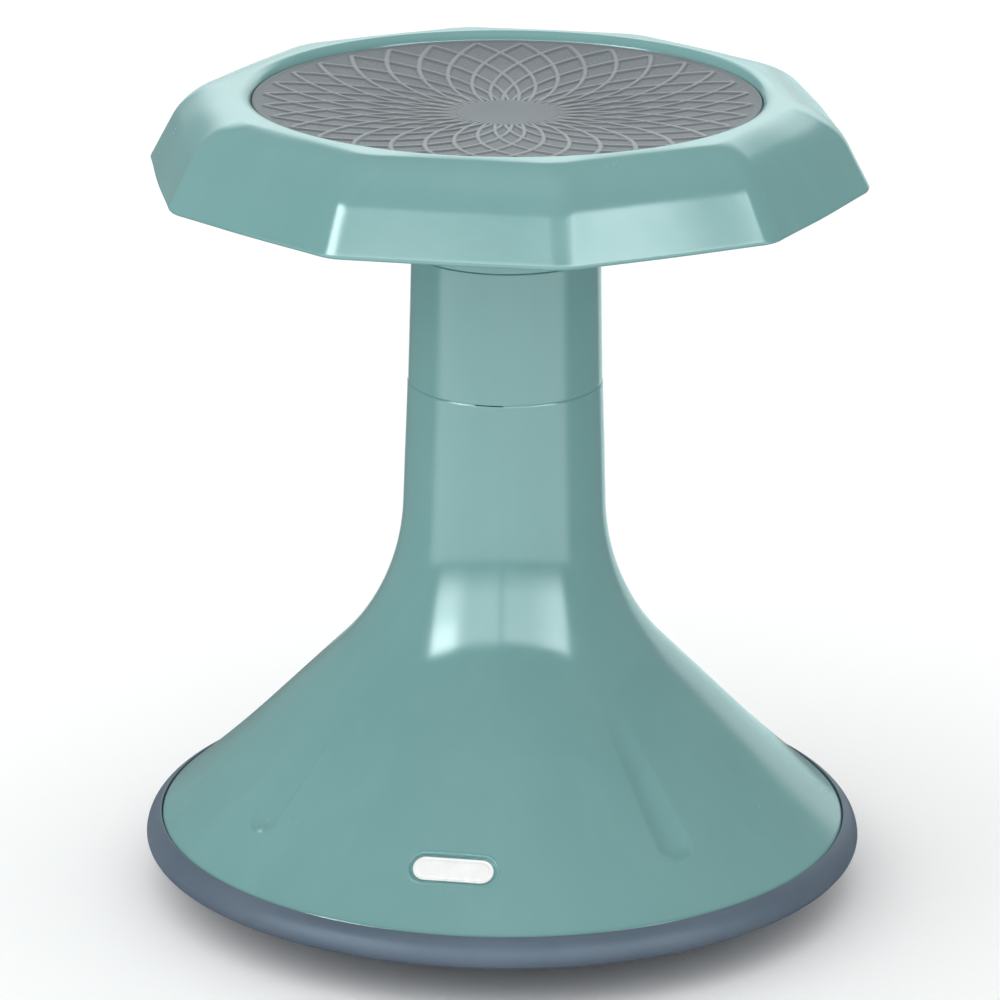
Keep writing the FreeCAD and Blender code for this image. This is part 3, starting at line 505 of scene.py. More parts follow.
# Seat stations are (apothem, z, corner radius, share of decagon); share 0 is round.
def seat_outside():
    """From the deck centre over the recess lip and crown, down to the lower edge."""
    rows = [(r, pad_dish(min(r, PAD_R)) - DECK_DROP, 0, 0)
            for r in (0, 20, 40, 60, 80, 100, 112, PAD_R + 0.1)]
    rows += [(PAD_R + 0.15, PAD_EDGE_Z - 4, 0, 0), (PAD_R + 0.2, PAD_EDGE_Z - 1.2, 0, 0)]
    # the lip rolls up from the pad to meet the crown
    lip_r, lip_z, meet_r = PAD_R + 0.25, PAD_EDGE_Z - 0.45, PAD_R + 6.0
    meet_z = CROWN_CENTRE[1] + math.sqrt(CROWN_R * CROWN_R - (meet_r - CROWN_CENTRE[0]) ** 2)
    run, rise = meet_r - lip_r, meet_z - lip_z
    roll_r = (run * run + rise * rise) / (2 * rise)
    for angle in np.linspace(math.asin(run / roll_r), 0.0, 18):
        rows.append((meet_r - roll_r * math.sin(angle),
                     meet_z - roll_r * (1 - math.cos(angle)), 0, 0))
    # the crown turns from round to ten-sided near its top
    top_angle = math.acos((meet_r - CROWN_CENTRE[0]) / CROWN_R)
    for angle in np.linspace(top_angle, LEAN, 44)[1:]:
        climb = (angle - LEAN) / (PI / 2 - LEAN)
        rows.append((*on_crown(angle), CORNER_R + 8.0 * climb,
                     smooth(top_angle - angle, 0.0, 0.12)))
    # the straight facet, then the round under it
    rim = (SEAT_LOW_R - RIM_R * math.tan(PI / 4 + LEAN / 2), SEAT_LOW + RIM_R, RIM_R)
    top, low = on_crown(LEAN), on_circle(*rim, [LEAN])[0]
    for k in range(1, 22):
        q = k / 22.0
        rows.append((top[0] + (low[0] - top[0]) * q, top[1] + (low[1] - top[1]) * q,
                     CORNER_R, 1.0))
    rows += [(r, z, CORNER_R, 1.0) for r, z in on_circle(*rim, np.linspace(LEAN, -PI / 2, 12))]
    return rows


def seat_inside():
    """From the lower edge up inside the wall and crown, back to the deck centre."""
    edge_r = SEAT_LOW_R - 4.2
    rows = [(edge_r + 0.5, SEAT_LOW, INNER_CORNER_R, 1.0),
            (edge_r + 0.1, SEAT_LOW + 0.25, INNER_CORNER_R, 1.0),
            (edge_r, SEAT_LOW + 0.8, INNER_CORNER_R, 1.0)]
    crown_z = CROWN_CENTRE[1] + (CROWN_R - WALL) * math.sin(LEAN)
    for z in np.linspace(SEAT_LOW + 2.0, crown_z, 9)[:-1]:
        rows.append((min(facet_r(z) - WALL / math.cos(LEAN), edge_r), z, INNER_CORNER_R, 1.0))
    for angle in np.linspace(LEAN, 1.45, 14):
        rows.append((*on_crown(angle, inset=WALL), INNER_CORNER_R + 6.0 * (angle - LEAN), 1.0))
    deck_z = PAD_EDGE_Z - DECK_DROP
    rows += [(PAD_R + 4.6, SEAT_TOP - 3.55, 10, 0.3), (PAD_R + 4.0, SEAT_TOP - 4.2, 0, 0),
             (PAD_R + 3.8, SEAT_TOP - 5.4, 0, 0), (PAD_R + 3.8, deck_z - 2.4, 0, 0),
             (PAD_R + 3.2, deck_z - 3.0, 0, 0)]
    rows += [(r, pad_dish(r) - DECK_DROP - DECK_T, 0, 0) for r in (112, 100, 80, 60, 40, 20, 0)]
    return rows


def build_seat():
    # azimuths in degrees from a corner, closest together on its round
    offsets = np.radians(bands((-18, -8, 8), (-8, -3.2, 9), (-3.2, 3.2, 38),
                               (3.2, 8, 9), (8, 18, 8)))
    azimuths = np.concatenate([FRONT + (k + 0.5) * 2 * PI / FACETS + offsets
                               for k in range(FACETS)])
    rows = seat_outside() + seat_inside()
    grid = np.zeros((len(rows), len(azimuths), 3))
    for i, (apothem, z, corner_r, share) in enumerate(rows):
        r = np.full(len(azimuths), float(apothem))
        if share > 0:
            r = (1 - share) * apothem + share * decagon(azimuths, apothem, corner_r)
        grid[i, :, 0] = r * np.cos(azimuths)
        grid[i, :, 1] = r * np.sin(azimuths)
        grid[i, :, 2] = z
    ob, _ = wrap("seat_cover", grid[::-1], "pole", "pole", sharp=40.0)
    enter(ob, "shell_plastic", "seat", "seat_shell")


# --------------------------------------------------------- seat underside
RIB_T = 2.4
RING_T = 2.6                              # where a ring meets the deck
RING_ROUND = 0.6
BOSS_PITCH_R, BOSS_LOW = 50.5, 348.05     # six bosses: circle radius, lower end z
BOSS_R, BOSS_BORE_R, BOSS_CHAMFER = 5.5, 2.05, 0.5


def build_ribs():
    """A rib behind the middle of each facet, from the inner ring to the wall."""
    low = SEAT_LOW + 8.0
    # stations along a rib: (r, lower z, upper z)
    stations = [(r, low, deck_middle(r)) for r in (62, 80, 100, 116.5)]
    stations += [(118.5, low, SEAT_TOP - 6.0), (122.0, low, SEAT_TOP - 2.6)]
    for angle, rise in ((1.37, 8.0), (1.17, 8.0), (0.95, 7.6), (0.75, 7.0), (0.58, 6.4)):
        r, z = on_crown(angle, inset=2.2)
        stations.append((r, SEAT_LOW + rise, z))
    for height, rise in ((16.0, 5.8), (9.5, 5.2)):
        z = SEAT_LOW + height
        stations.append((facet_r(z) - 2.4, SEAT_LOW + rise, z))
    half = RIB_T / 2
    points, faces = [], []
    for k in range(FACETS):
        azimuth = math.radians(-90 + 360 / FACETS * k)
        first = len(points)
        for r, z0, z1 in stations:
            for side, z in ((-half, z0), (half, z0), (half, z1), (-half, z1)):
                points.append(turned(r, side, z, azimuth))
        for i in range(len(stations) - 1):
            for j in range(4):
                a, b = first + 4 * i + j, first + 4 * i + (j + 1) % 4
                faces.append((a, b, b + 4, a + 4))
        last = len(points) - 4
        faces.append((first + 3, first + 2, first + 1, first))
        faces.append((last, last + 1, last + 2, last + 3))
    ob = mesh_object("seat_ribs", points, faces)
    bevel(ob, width=0.45, segments=1, angle=40)
    enter(ob, "shell_plastic", "seat")


def build_ring(name, r, low):
    """A round wall hanging from the deck, with a rounded lower edge."""
    top, z = deck_middle(r), low + RING_ROUND
    profile = clean(arc(r - RING_ROUND, z, RING_ROUND, 180, 270, 4)
                    + arc(r + RING_ROUND, z, RING_ROUND, 270, 360, 4)
                    + [(r + RING_T / 2, top), (r - RING_T / 2, top)])
    ob, _ = wrap(name, revolve(profile, full_turn(180)), end="join")
    enter(ob, "shell_plastic", "seat")


def build_bosses():
    low, top, cut = BOSS_LOW, deck_middle(50), BOSS_CHAMFER
    profile = [(BOSS_BORE_R, low + cut), (BOSS_BORE_R + cut, low), (BOSS_R - cut, low),
               (BOSS_R, low + cut), (BOSS_R + 0.25, top), (BOSS_BORE_R, top)]
    for k in range(6):
        azimuth = math.radians(60 * k)
        grid = revolve(profile, full_turn(40))
        grid[:, :, 0] += BOSS_PITCH_R * math.cos(azimuth)
        grid[:, :, 1] += BOSS_PITCH_R * math.sin(azimuth)
        ob, _ = wrap("seat_boss_%d" % (k + 1), grid, end="join")
        enter(ob, "shell_plastic", "seat")


# --------------------------------------------------------------------- pad
RIDGES = 32                               # each way round; the two sets cross
RIDGE_TIP_R = 111.5                       # where the ridges end
RIDGE_CURL = 175.8                        # sets how the ridges curve
RIDGE_HALF = 1.25
RIDGE_RISE = 0.75
PAD_GROUND = 0.55                         # ground between ridges, below the hollow
PAD_DEPTH = 2.75                          # underside, below the hollow
PAD_HUB_R = 24.0                          # raised disc in the middle
# the raised hub gets only part of the ridges' painted lighter tone
HUB_TINT = 0.45                           # its share of the ridge colour


def build_pad():
    first_tip = math.radians(-90 + 180 / RIDGES)
    step = math.radians(360 / RIDGES)
    columns = 1280
    azimuths = first_tip + full_turn(columns)
    r = bands((1.5, 20, 12), (20, 28, 16), (28, 106, 118), (106, 114, 24),
              (114, 115.6, 4))[:, None]
    sweep = np.arccos(r / RIDGE_CURL) - math.acos(RIDGE_TIP_R / RIDGE_CURL)
    slant = np.sqrt(1 - (r / RIDGE_CURL) ** 2)
    half = RIDGE_HALF * (0.80 + 0.20 * smooth(r, 40, 100))
    height = np.zeros((len(r), columns))
    for way in (-1, 1):
        turn = (azimuths[None, :] - first_tip + way * sweep) / step
        distance = np.abs(turn - np.round(turn)) * step * r * slant
        height = np.maximum(height, 1 - smooth(distance, half - 0.45, half + 0.35))
    height *= 1 - smooth(r, RIDGE_TIP_R - 0.2, RIDGE_TIP_R + 1.1)
    hub = 1 - smooth(r, PAD_HUB_R - 1.2, PAD_HUB_R + 1.0)
    height = np.maximum(height, hub)
    rim = smooth(r, 114.2, 115.0)

    face = np.empty((len(r), columns, 3))
    face[:, :, 0] = r * np.cos(azimuths)
    face[:, :, 1] = r * np.sin(azimuths)
    face[:, :, 2] = pad_dish(r) - PAD_GROUND + RIDGE_RISE * height + 0.25 * rim
    edge = [(q, pad_dish(q) - drop)
            for q, drop in ((115.9, 0.28), (116.3, 0.36), (116.65, 0.62), (116.85, 1.1))]
    edge += [(116.85, PAD_EDGE_Z - 2.6)]
    edge += [(q, pad_dish(q) - PAD_DEPTH) for q in (116.0, 90.0, 60.0, 30.0)]
    middle = PAD_EDGE_Z - PAD_DISH
    top = revolve([(0, middle - PAD_GROUND + RIDGE_RISE)], azimuths)
    low = revolve([(0, middle - PAD_DEPTH)], azimuths)
    grid = np.concatenate([top, face, revolve(edge, azimuths), low])[::-1]
    ob, index = wrap("grip_pad", grid, "pole", "pole", sharp=50.0)

    # "ridge" tells the material where the raised lines are, for their smoother finish and their
    # painted lighter tone
    tint = np.concatenate([np.full((1, columns), HUB_TINT), np.where(hub > 0.5, HUB_TINT, height),
                           np.zeros((len(edge) + 1, columns))])[::-1]
    ridge = np.zeros(len(ob.data.vertices), np.float32)
    ridge[index.ravel()] = tint.ravel()
    attribute = ob.data.attributes.new("ridge", "FLOAT", "POINT")
    attribute.data.foreach_set("value", ridge)
    enter(ob, "pad_rubber", "seat", "seat_pad")


# ------------------------------------------------------------ hub and neck
FLANGE_LOW = HUB_TOP - 4.0
BORE_R = 41.45                            # inside of the neck and of the base top
SPIGOT_R, SPIGOT_DEPTH = 35.0, 18.0
LUGS = 3
LUG_HALF, LUG_FLANK = math.radians(10.0), math.radians(0.6)
LUG_REACH = (3.9, 3.9, 3.3)               # at spigot rows 3, 4 and 5


def build_tube(name, node, body, seam, outside, inside):
    """Tube with a lugged spigot below the seam; profiles run down outside."""
    lug_top = seam - 12.0
    heights = (seam - 0.4, lug_top + 0.3, lug_top, lug_top - 0.01, lug_top - 4.4,
               lug_top - 5.0, lug_top - 5.01, seam - SPIGOT_DEPTH + 1.0)
    spigot = [(SPIGOT_R, z) for z in heights]
    spigot += [(SPIGOT_R - 1.0, seam - SPIGOT_DEPTH), (SPIGOT_R - 3.0, seam - SPIGOT_DEPTH)]
    profile = outside + spigot + inside
    azimuths = full_turn(360)
    grid = revolve(profile, azimuths)
    off = np.abs((azimuths + PI / LUGS) % (2 * PI / LUGS) - PI / LUGS)
    on_lug = 1 - smooth(off, LUG_HALF - LUG_FLANK, LUG_HALF)
    for k, reach in enumerate(LUG_REACH, len(outside) + 3):
        grid[k, :, 0] += reach * on_lug * np.cos(azimuths)
        grid[k, :, 1] += reach * on_lug * np.sin(azimuths)
    ob, _ = wrap(name, grid[::-1], end="join", sharp=35.0)
    enter(ob, "shell_plastic", body, node)


def build_hub():
    outside = ([(40.0, HUB_TOP), (57.0, HUB_TOP)]
               + arc(58.2, HUB_TOP - 0.8, 0.8, 90, 0, 4)
               + arc(58.2, FLANGE_LOW + 0.8, 0.8, 0, -90, 4)
               + arc(45.6, FLANGE_LOW - 2.0, 2.0, 90, 180, 6)
               + line((43.58, FLANGE_LOW - 4), (43.88, UP_SEAM + 1.6), 5.0)
               + arc(43.25, UP_SEAM + 0.7, 0.65, 0, -90, 5)
               + [(35.2, UP_SEAM + 0.05)])
    inside = [(32.0, UP_SEAM + 4.0), (40.2, UP_SEAM + 5.0), (40.0, UP_SEAM + 20.0)]
    build_tube("hub_tube", "seat_hub", "seat", UP_SEAM + 0.05, clean(outside), inside)


def build_neck():
    outside = ([(BORE_R, UP_SEAM), (43.3, UP_SEAM)]
               + arc(43.3, UP_SEAM - 0.6, 0.6, 90, 0, 5)
               + line((43.9, UP_SEAM - 1.0), (45.2, LOW_SEAM + 0.9), 4.0)
               + arc(45.0, LOW_SEAM + 0.22, 0.18, 0, -90, 4)
               + [(35.2, LOW_SEAM + 0.04)])
    # an inward ledge stands below the upper seam
    inside = [(32.0, LOW_SEAM + 4.0), (41.4, LOW_SEAM + 4.4), (BORE_R, UP_SEAM - 27.0),
              (38.5, UP_SEAM - 22.06), (BORE_R, UP_SEAM - 22.05)]
    build_tube("neck_sleeve", "neck_tube", "neck", LOW_SEAM + 0.04, clean(outside), inside)


def build_webs():
    """Six webs between the hub and its flange."""
    outline = [(42.5, FLANGE_LOW - 12.0), (44.4, FLANGE_LOW - 12.0), (57.0, FLANGE_LOW - 1.0),
               (57.0, FLANGE_LOW + 1.0), (42.5, FLANGE_LOW + 1.0)]
    count = len(outline)
    points, faces = [], []
    for k in range(6):
        azimuth = math.radians(30 + 60 * k)
        first = len(points)
        points += [turned(r, side, z, azimuth) for side in (-1.5, 1.5) for r, z in outline]
        faces.append(tuple(first + i for i in range(count)))
        faces.append(tuple(first + count + i for i in reversed(range(count))))
        for i in range(count):
            a, b = first + i, first + (i + 1) % count
            faces.append((b, a, a + count, b + count))
    ob = mesh_object("hub_webs", points, faces)
    bevel(ob, width=0.5, segments=2, angle=30)
    enter(ob, "shell_plastic", "seat")


# -------------------------------------------------------------- base shell
# Down the outside: a tube, a bend, a straight cone, an opening flare, the lip.
# Wall angles are from the vertical.
TUBE_ANGLE, CONE_ANGLE = math.radians(1.9), math.radians(44.6)
TUBE_R, TUBE_Z = 45.5, 246.0              # a point on the tube
BEND_ROUND, BEND_Z = 109.0, 186.0
BEND_R = TUBE_R + (TUBE_Z - BEND_Z) * math.tan(TUBE_ANGLE)
BEND_CENTRE = (BEND_R + BEND_ROUND * math.cos(TUBE_ANGLE),
               BEND_Z + BEND_ROUND * math.sin(TUBE_ANGLE))
CONE_R = BEND_R + BEND_ROUND * (math.cos(TUBE_ANGLE) - math.cos(CONE_ANGLE))
CONE_Z = BEND_Z - BEND_ROUND * (math.sin(CONE_ANGLE) - math.sin(TUBE_ANGLE))
FLARE_R = 118.0
FLARE_Z = CONE_Z - (FLARE_R - CONE_R) / math.tan(CONE_ANGLE)
LIP_R, LIP_ROUND = 162.3, 4.0
LIP_ROUND_Z = LIP_Z + 0.4
# find the wall angle at which the flare meets the lip round
LIP_ANGLE = CONE_ANGLE
for _ in range(40):
    MEET_R = LIP_R - LIP_ROUND * (1 - math.cos(LIP_ANGLE))
    MEET_Z = LIP_ROUND_Z + LIP_ROUND * math.sin(LIP_ANGLE)
    LIP_ANGLE = 2 * math.atan2(MEET_R - FLARE_R, FLARE_Z - MEET_Z) - CONE_ANGLE
FLARE_ROUND = (math.hypot(MEET_R - FLARE_R, FLARE_Z - MEET_Z)
               / (2 * math.sin((LIP_ANGLE - CONE_ANGLE) / 2)))

FLUTES = [math.radians(a) for a in (-135, -45, 45, 135)]
FLUTE_FOOT_R = 141.0                      # radius where the straight part ends
FLUTE_L, FLUTE_END = 92.0, 8.6            # straight part, round end below it
FLUTE_DEPTH = 3.5
BADGE_R = 137.0                           # radius on the cone at the badge's middle
POCKET_DEPTH = 2.0
POCKET_L, POCKET_W = 40.5, 14.6
PLATE_L, PLATE_W, PLATE_T = 37.0, 11.6, 0.9


def on_flare(r):
    """Height and wall angle at radius r, below the bend."""
    if r <= FLARE_R:
        return CONE_Z - (r - CONE_R) / math.tan(CONE_ANGLE), CONE_ANGLE
    angle = math.acos(math.cos(CONE_ANGLE) - (r - FLARE_R) / FLARE_ROUND)
    return FLARE_Z - FLARE_ROUND * (math.sin(angle) - math.sin(CONE_ANGLE)), angle


def cone_frame(r, azimuth):
    """Point on the cone, and its outward, down-slope and sideways directions."""
    z, angle = on_flare(r)
    cos, sin = math.cos(azimuth), math.sin(azimuth)
    centre = np.array([r * cos, r * sin, z])
    out = np.array([math.cos(angle) * cos, math.cos(angle) * sin, math.sin(angle)])
    down = np.array([math.sin(angle) * cos, math.sin(angle) * sin, -math.cos(angle)])
    return centre, out, down, -np.cross(out, down)


def base_outside():
    """From the top rim down to the lip: (r, z, wall angle)."""
    rows = [(BORE_R, LOW_SEAM, PI / 2), (45.12, LOW_SEAM, PI / 2),
            (45.20, LOW_SEAM - 0.03, PI / 2)]
    for drop in (0.07, 0.10, 0.40, 0.72, 0.75):
        rows.append((45.22 + 0.29 * (drop - 0.07) / 0.68, LOW_SEAM - drop, 0.3))
    tube = [LOW_SEAM - 0.82, LOW_SEAM - 0.9, 244.6, 244.0, 243.0, 241.0, 238.0]
    for z in np.concatenate([tube, np.linspace(234, BEND_Z, 14)]):
        rows.append((TUBE_R + (TUBE_Z - z) * math.tan(TUBE_ANGLE), z, TUBE_ANGLE))
    for angle in np.linspace(TUBE_ANGLE, CONE_ANGLE, 64)[1:]:
        rows.append((BEND_CENTRE[0] - BEND_ROUND * math.cos(angle),
                     BEND_CENTRE[1] - BEND_ROUND * math.sin(angle), angle))
    # rows lie closest together across the badge
    radii = np.concatenate([np.arange(CONE_R + 1.2, 128.0, 1.2), np.arange(128.0, 148.0, 0.2),
                            np.arange(148.0, MEET_R - 0.3, 1.0), [MEET_R]])
    rows += [(r, *on_flare(r)) for r in radii]
    for angle in np.linspace(LIP_ANGLE, 0, 12)[1:]:
        rows.append((LIP_R - LIP_ROUND + LIP_ROUND * math.cos(angle),
                     LIP_ROUND_Z + LIP_ROUND * math.sin(angle), angle))
    return np.array(rows)


def base_inside(azimuths):
    """From the lip up to the top rim, with an inward ledge near the top."""
    profile = [(LIP_R, LIP_Z), (LIP_R - WALL, LIP_Z), (LIP_R - WALL, LIP_ROUND_Z),
               (MEET_R - WALL * math.cos(LIP_ANGLE), MEET_Z - WALL * math.sin(LIP_ANGLE))]
    first_flare = len(profile)
    for r in (152.0, 143.0, 134.0, 125.0, FLARE_R, 104.0, 91.0, CONE_R):
        z, angle = on_flare(r)
        profile.append((r - WALL * math.cos(angle), z - WALL * math.sin(angle)))
    end_flare = len(profile)
    for angle in np.linspace(CONE_ANGLE, TUBE_ANGLE, 12)[1:]:
        profile.append((BEND_CENTRE[0] - (BEND_ROUND + WALL) * math.cos(angle),
                        BEND_CENTRE[1] - (BEND_ROUND + WALL) * math.sin(angle)))
    profile += [(BORE_R, 216.0), (38.45, 223.95), (BORE_R, 223.95)]
    grid = revolve(profile, azimuths)
    # keep the wall whole behind the flutes and the badge pocket
    for middle in FLUTES + [FRONT]:
        _, out, _, _ = cone_frame(BADGE_R, middle)
        near = np.abs((azimuths - middle + PI) % (2 * PI) - PI) < math.radians(11)
        grid[first_flare:end_flare, near] -= out * 1.6
    return grid


def base_azimuths():
    """Columns 0.1 degrees apart across the badge, growing evenly to 0.42."""
    half, angle, step = [0.0], 0.0, 0.1
    while angle < 180.0:
        if angle > 9.6:
            step = min(step * 1.05, 0.42)
        angle += step
        half.append(angle)
    half = np.array(half) * 180.0 / half[-1]
    return np.unwrap(np.radians(-90.0 + np.concatenate([half, -half[1:-1][::-1]])))


def press_flute(grid, normals, wall, azimuth):
    """Sink one trough that widens and deepens down the cone."""
    centre, _, down, side = cone_frame(FLUTE_FOOT_R, azimuth)
    offset = grid - centre
    along, across = offset @ down, offset @ side
    facing = (grid[:, :, 0] * math.cos(azimuth) + grid[:, :, 1] * math.sin(azimuth)) > 0
    q = np.clip((along + FLUTE_L) / FLUTE_L, 0, 1)      # 0 at the head, 1 at the foot
    half = 4.8 + 5.4 * q
    depth = FLUTE_DEPTH * smooth(q, 0.0, 0.94)
    over = np.clip(along + FLUTE_END, 0, None) / FLUTE_END   # round foot end
    radial = np.clip(np.sqrt(over ** 2 + (across / half) ** 2), 0, 1)
    shape = np.cos(radial * PI / 2) ** 1.15
    grid -= normals * (depth * shape * facing * wall)[:, :, None]


def press_pocket(grid):
    """Flat-bottomed pill with a soft raised edge, for the badge."""
    centre, out, down, side = cone_frame(BADGE_R, FRONT)
    offset = grid - centre
    across, along, height = offset @ side, offset @ down, offset @ out
    near = (np.abs(across) < 40) & (np.abs(along) < 20) & (grid[:, :, 1] < 0)
    straight = (POCKET_L - POCKET_W) / 2
    outline = np.hypot(np.maximum(np.abs(across) - straight, 0), along) - POCKET_W / 2
    sunk = (1 - smooth(outline, -0.55, 0.0)) * near
    lip = np.exp(-((outline - 0.55) / 0.5) ** 2) * near * 0.22
    grid += out * (sunk * (-POCKET_DEPTH - height))[:, :, None] + out * lip[:, :, None]


def cut_notch(grid, radii, azimuths):
    """Shallow notch in the top rim at the front."""
    turn = (azimuths - FRONT + PI) % (2 * PI) - PI
    notch = (1 - smooth(np.abs(turn) * 45.0, 6.0, 6.8))[None, :]
    rim = (radii < 47.0) & (grid[:, :, 2] > LOW_SEAM - 1.2)
    grid[:, :, 2] = np.where(rim, np.minimum(grid[:, :, 2], LOW_SEAM - 0.40 * notch),
                             grid[:, :, 2])


def build_base():
    azimuths = base_azimuths()
    section = base_outside()
    radii, angles = section[:, 0:1], section[:, 2:3]
    grid = revolve(section[:, :2], azimuths)
    normals = np.empty_like(grid)
    normals[:, :, 0] = np.cos(angles) * np.cos(azimuths)
    normals[:, :, 1] = np.cos(angles) * np.sin(azimuths)
    normals[:, :, 2] = np.sin(angles)
    wall = (angles < PI / 2 - 0.1) & (radii > 44)        # everything but the top rim
    for azimuth in FLUTES:
        press_flute(grid, normals, wall, azimuth)
    press_pocket(grid)
    cut_notch(grid, radii, azimuths)
    grid = np.concatenate([grid, base_inside(azimuths)])
    ob, _ = wrap("base_flare", grid[::-1], end="join", sharp=38.0)
    enter(ob, "shell_plastic", "base", "base_shell")


def build_badge():
    """Blank pill plate with a soft edge and a fine raised border."""
    centre, out, down, side = cone_frame(BADGE_R, FRONT)
    angles = full_turn(128)
    straight = (PLATE_L - PLATE_W) / 2
    end_centre = np.where(np.cos(angles) >= 0, straight, -straight)
    half, top = PLATE_W / 2, PLATE_T
    low = -POCKET_DEPTH + 0.05
    # (end radius, height above the plate's underside)
    stations = ((half - 0.1, 0.0), (half, 0.1), (half, top - 0.3), (half - 0.09, top - 0.1),
                (half - 0.3, top), (half - 0.85, top), (half - 1.0, top - 0.12),
                (half - 1.3, top - 0.12), (half - 1.45, top), (PLATE_W / 4, top))
    rows = [np.tile(centre + out * low, (len(angles), 1))]
    for radius, height in stations:
        across = end_centre + radius * np.cos(angles)
        along = radius * np.sin(angles)
        rows.append(centre + np.outer(across, side) - np.outer(along, down)
                    + out * (low + height))
    rows.append(np.tile(centre + out * (low + top), (len(angles), 1)))
    ob, _ = wrap("badge_plate", np.array(rows), "pole", "pole", sharp=50.0)
    enter(ob, "badge_white", "base", "name_badge")


# ------------------------------------------------------------- rubber boot
SOLE_ROUND, SOLE_FLAT_R = 690.0, 32.0     # domed sole with a flat middle
SOLE_SUNK = SOLE_ROUND - math.sqrt(SOLE_ROUND * SOLE_ROUND - SOLE_FLAT_R * SOLE_FLAT_R)
GROOVES = (146.0, 124.0, 100.0, 76.0, 52.0)
GROOVE_HALF = ((1.9, 0.0), (1.45, 0.12), (1.15, 0.5), (1.0, 1.35), (0.8, 1.5))  # (offset, depth)
SOLE_RADII = (164.5, 162, 158, 154, 150, 141, 136, 131, 118, 112, 107,
              94, 88, 83, 69, 64, 59, 46, 40, 35, 32.5, 32.0)       # between grooves


def sole(r, above=0.0):
    """Height of the domed sole, or of a face that lies above it."""
    return SOLE_ROUND - SOLE_SUNK - math.sqrt((SOLE_ROUND - above) ** 2 - r * r)


def boot_bulge(sleeve_r):
    """The outer bulge: a long upper round, a tight lower one, blended."""
    low = sole(165.9)
    upper, lower = (157.4, low + 2.85, 12.3), (166.08, low + 3.6, 3.6)      # (r, z, radius)
    start = math.atan2(BOOT_TOP - 0.25 - upper[1], sleeve_r + 1.0 - upper[0])
    bulge = np.array(on_circle(*upper, np.linspace(start, 0.05, 40))
                     + on_circle(*lower, np.linspace(-0.16, -1.62, 20)))
    for _ in range(6):
        bulge[1:-1] = 0.25 * bulge[:-2] + 0.5 * bulge[1:-1] + 0.25 * bulge[2:]
    return bulge.tolist()


def build_boot():
    """From the middle of the floor inside, round the shell lip, to the sole's middle."""
    sleeve_r = LIP_R + 0.08
    ledge_z, lip_z = sole(157, 7.6) + 1.2, LIP_Z - 0.05
    profile = [(0.0, sole(0, 4.0)), (60.0, sole(60, 4.0)), (110.0, sole(110, 4.0)),
               (157.1, sole(157, 4.0)), (157.1, ledge_z), (150.0, ledge_z),
               (150.0, lip_z), (sleeve_r, lip_z), (sleeve_r, BOOT_TOP - 0.9)]
    profile += arc(sleeve_r + 0.6, BOOT_TOP - 0.62, 0.6, 175, 75, 7)
    profile += boot_bulge(sleeve_r)
    stops = [(groove + way * offset, depth)
             for groove in GROOVES for way in (1, -1) for offset, depth in GROOVE_HALF]
    stops += [(r, 0.0) for r in SOLE_RADII]
    profile += [(r, max(sole(r), 0.0) + depth) for r, depth in sorted(stops, reverse=True)]
    profile += [(31.0, 0.0), (16.0, 0.0), (0.0, 0.0)]
    ob, _ = wrap("rubber_boot", revolve(clean(profile), full_turn(384)), "pole", "pole",
                 sharp=40.0)
    enter(ob, "foot_rubber", "base", "rubber_foot")


build_seat()
build_ribs()
build_ring("seat_ring_inner", 62.0, SEAT_LOW + 5.0)
build_ring("seat_ring_outer", 109.0, SEAT_LOW + 8.0)
build_bosses()
build_pad()
build_hub()
build_neck()
build_webs()
build_base()
build_badge()
build_boot()

# dress the CAD nodes
slot_of = {part["node"]: part["material_slot"] for part in frame["record"]["subparts"]}
for node_name, cad_piece in frame["nodes"].items():
    dress(cad_piece, slot_of[node_name])


# ------------------------------------------------------------------ studio
STUDIO_TINT = rgb(0.88, 1, 1)


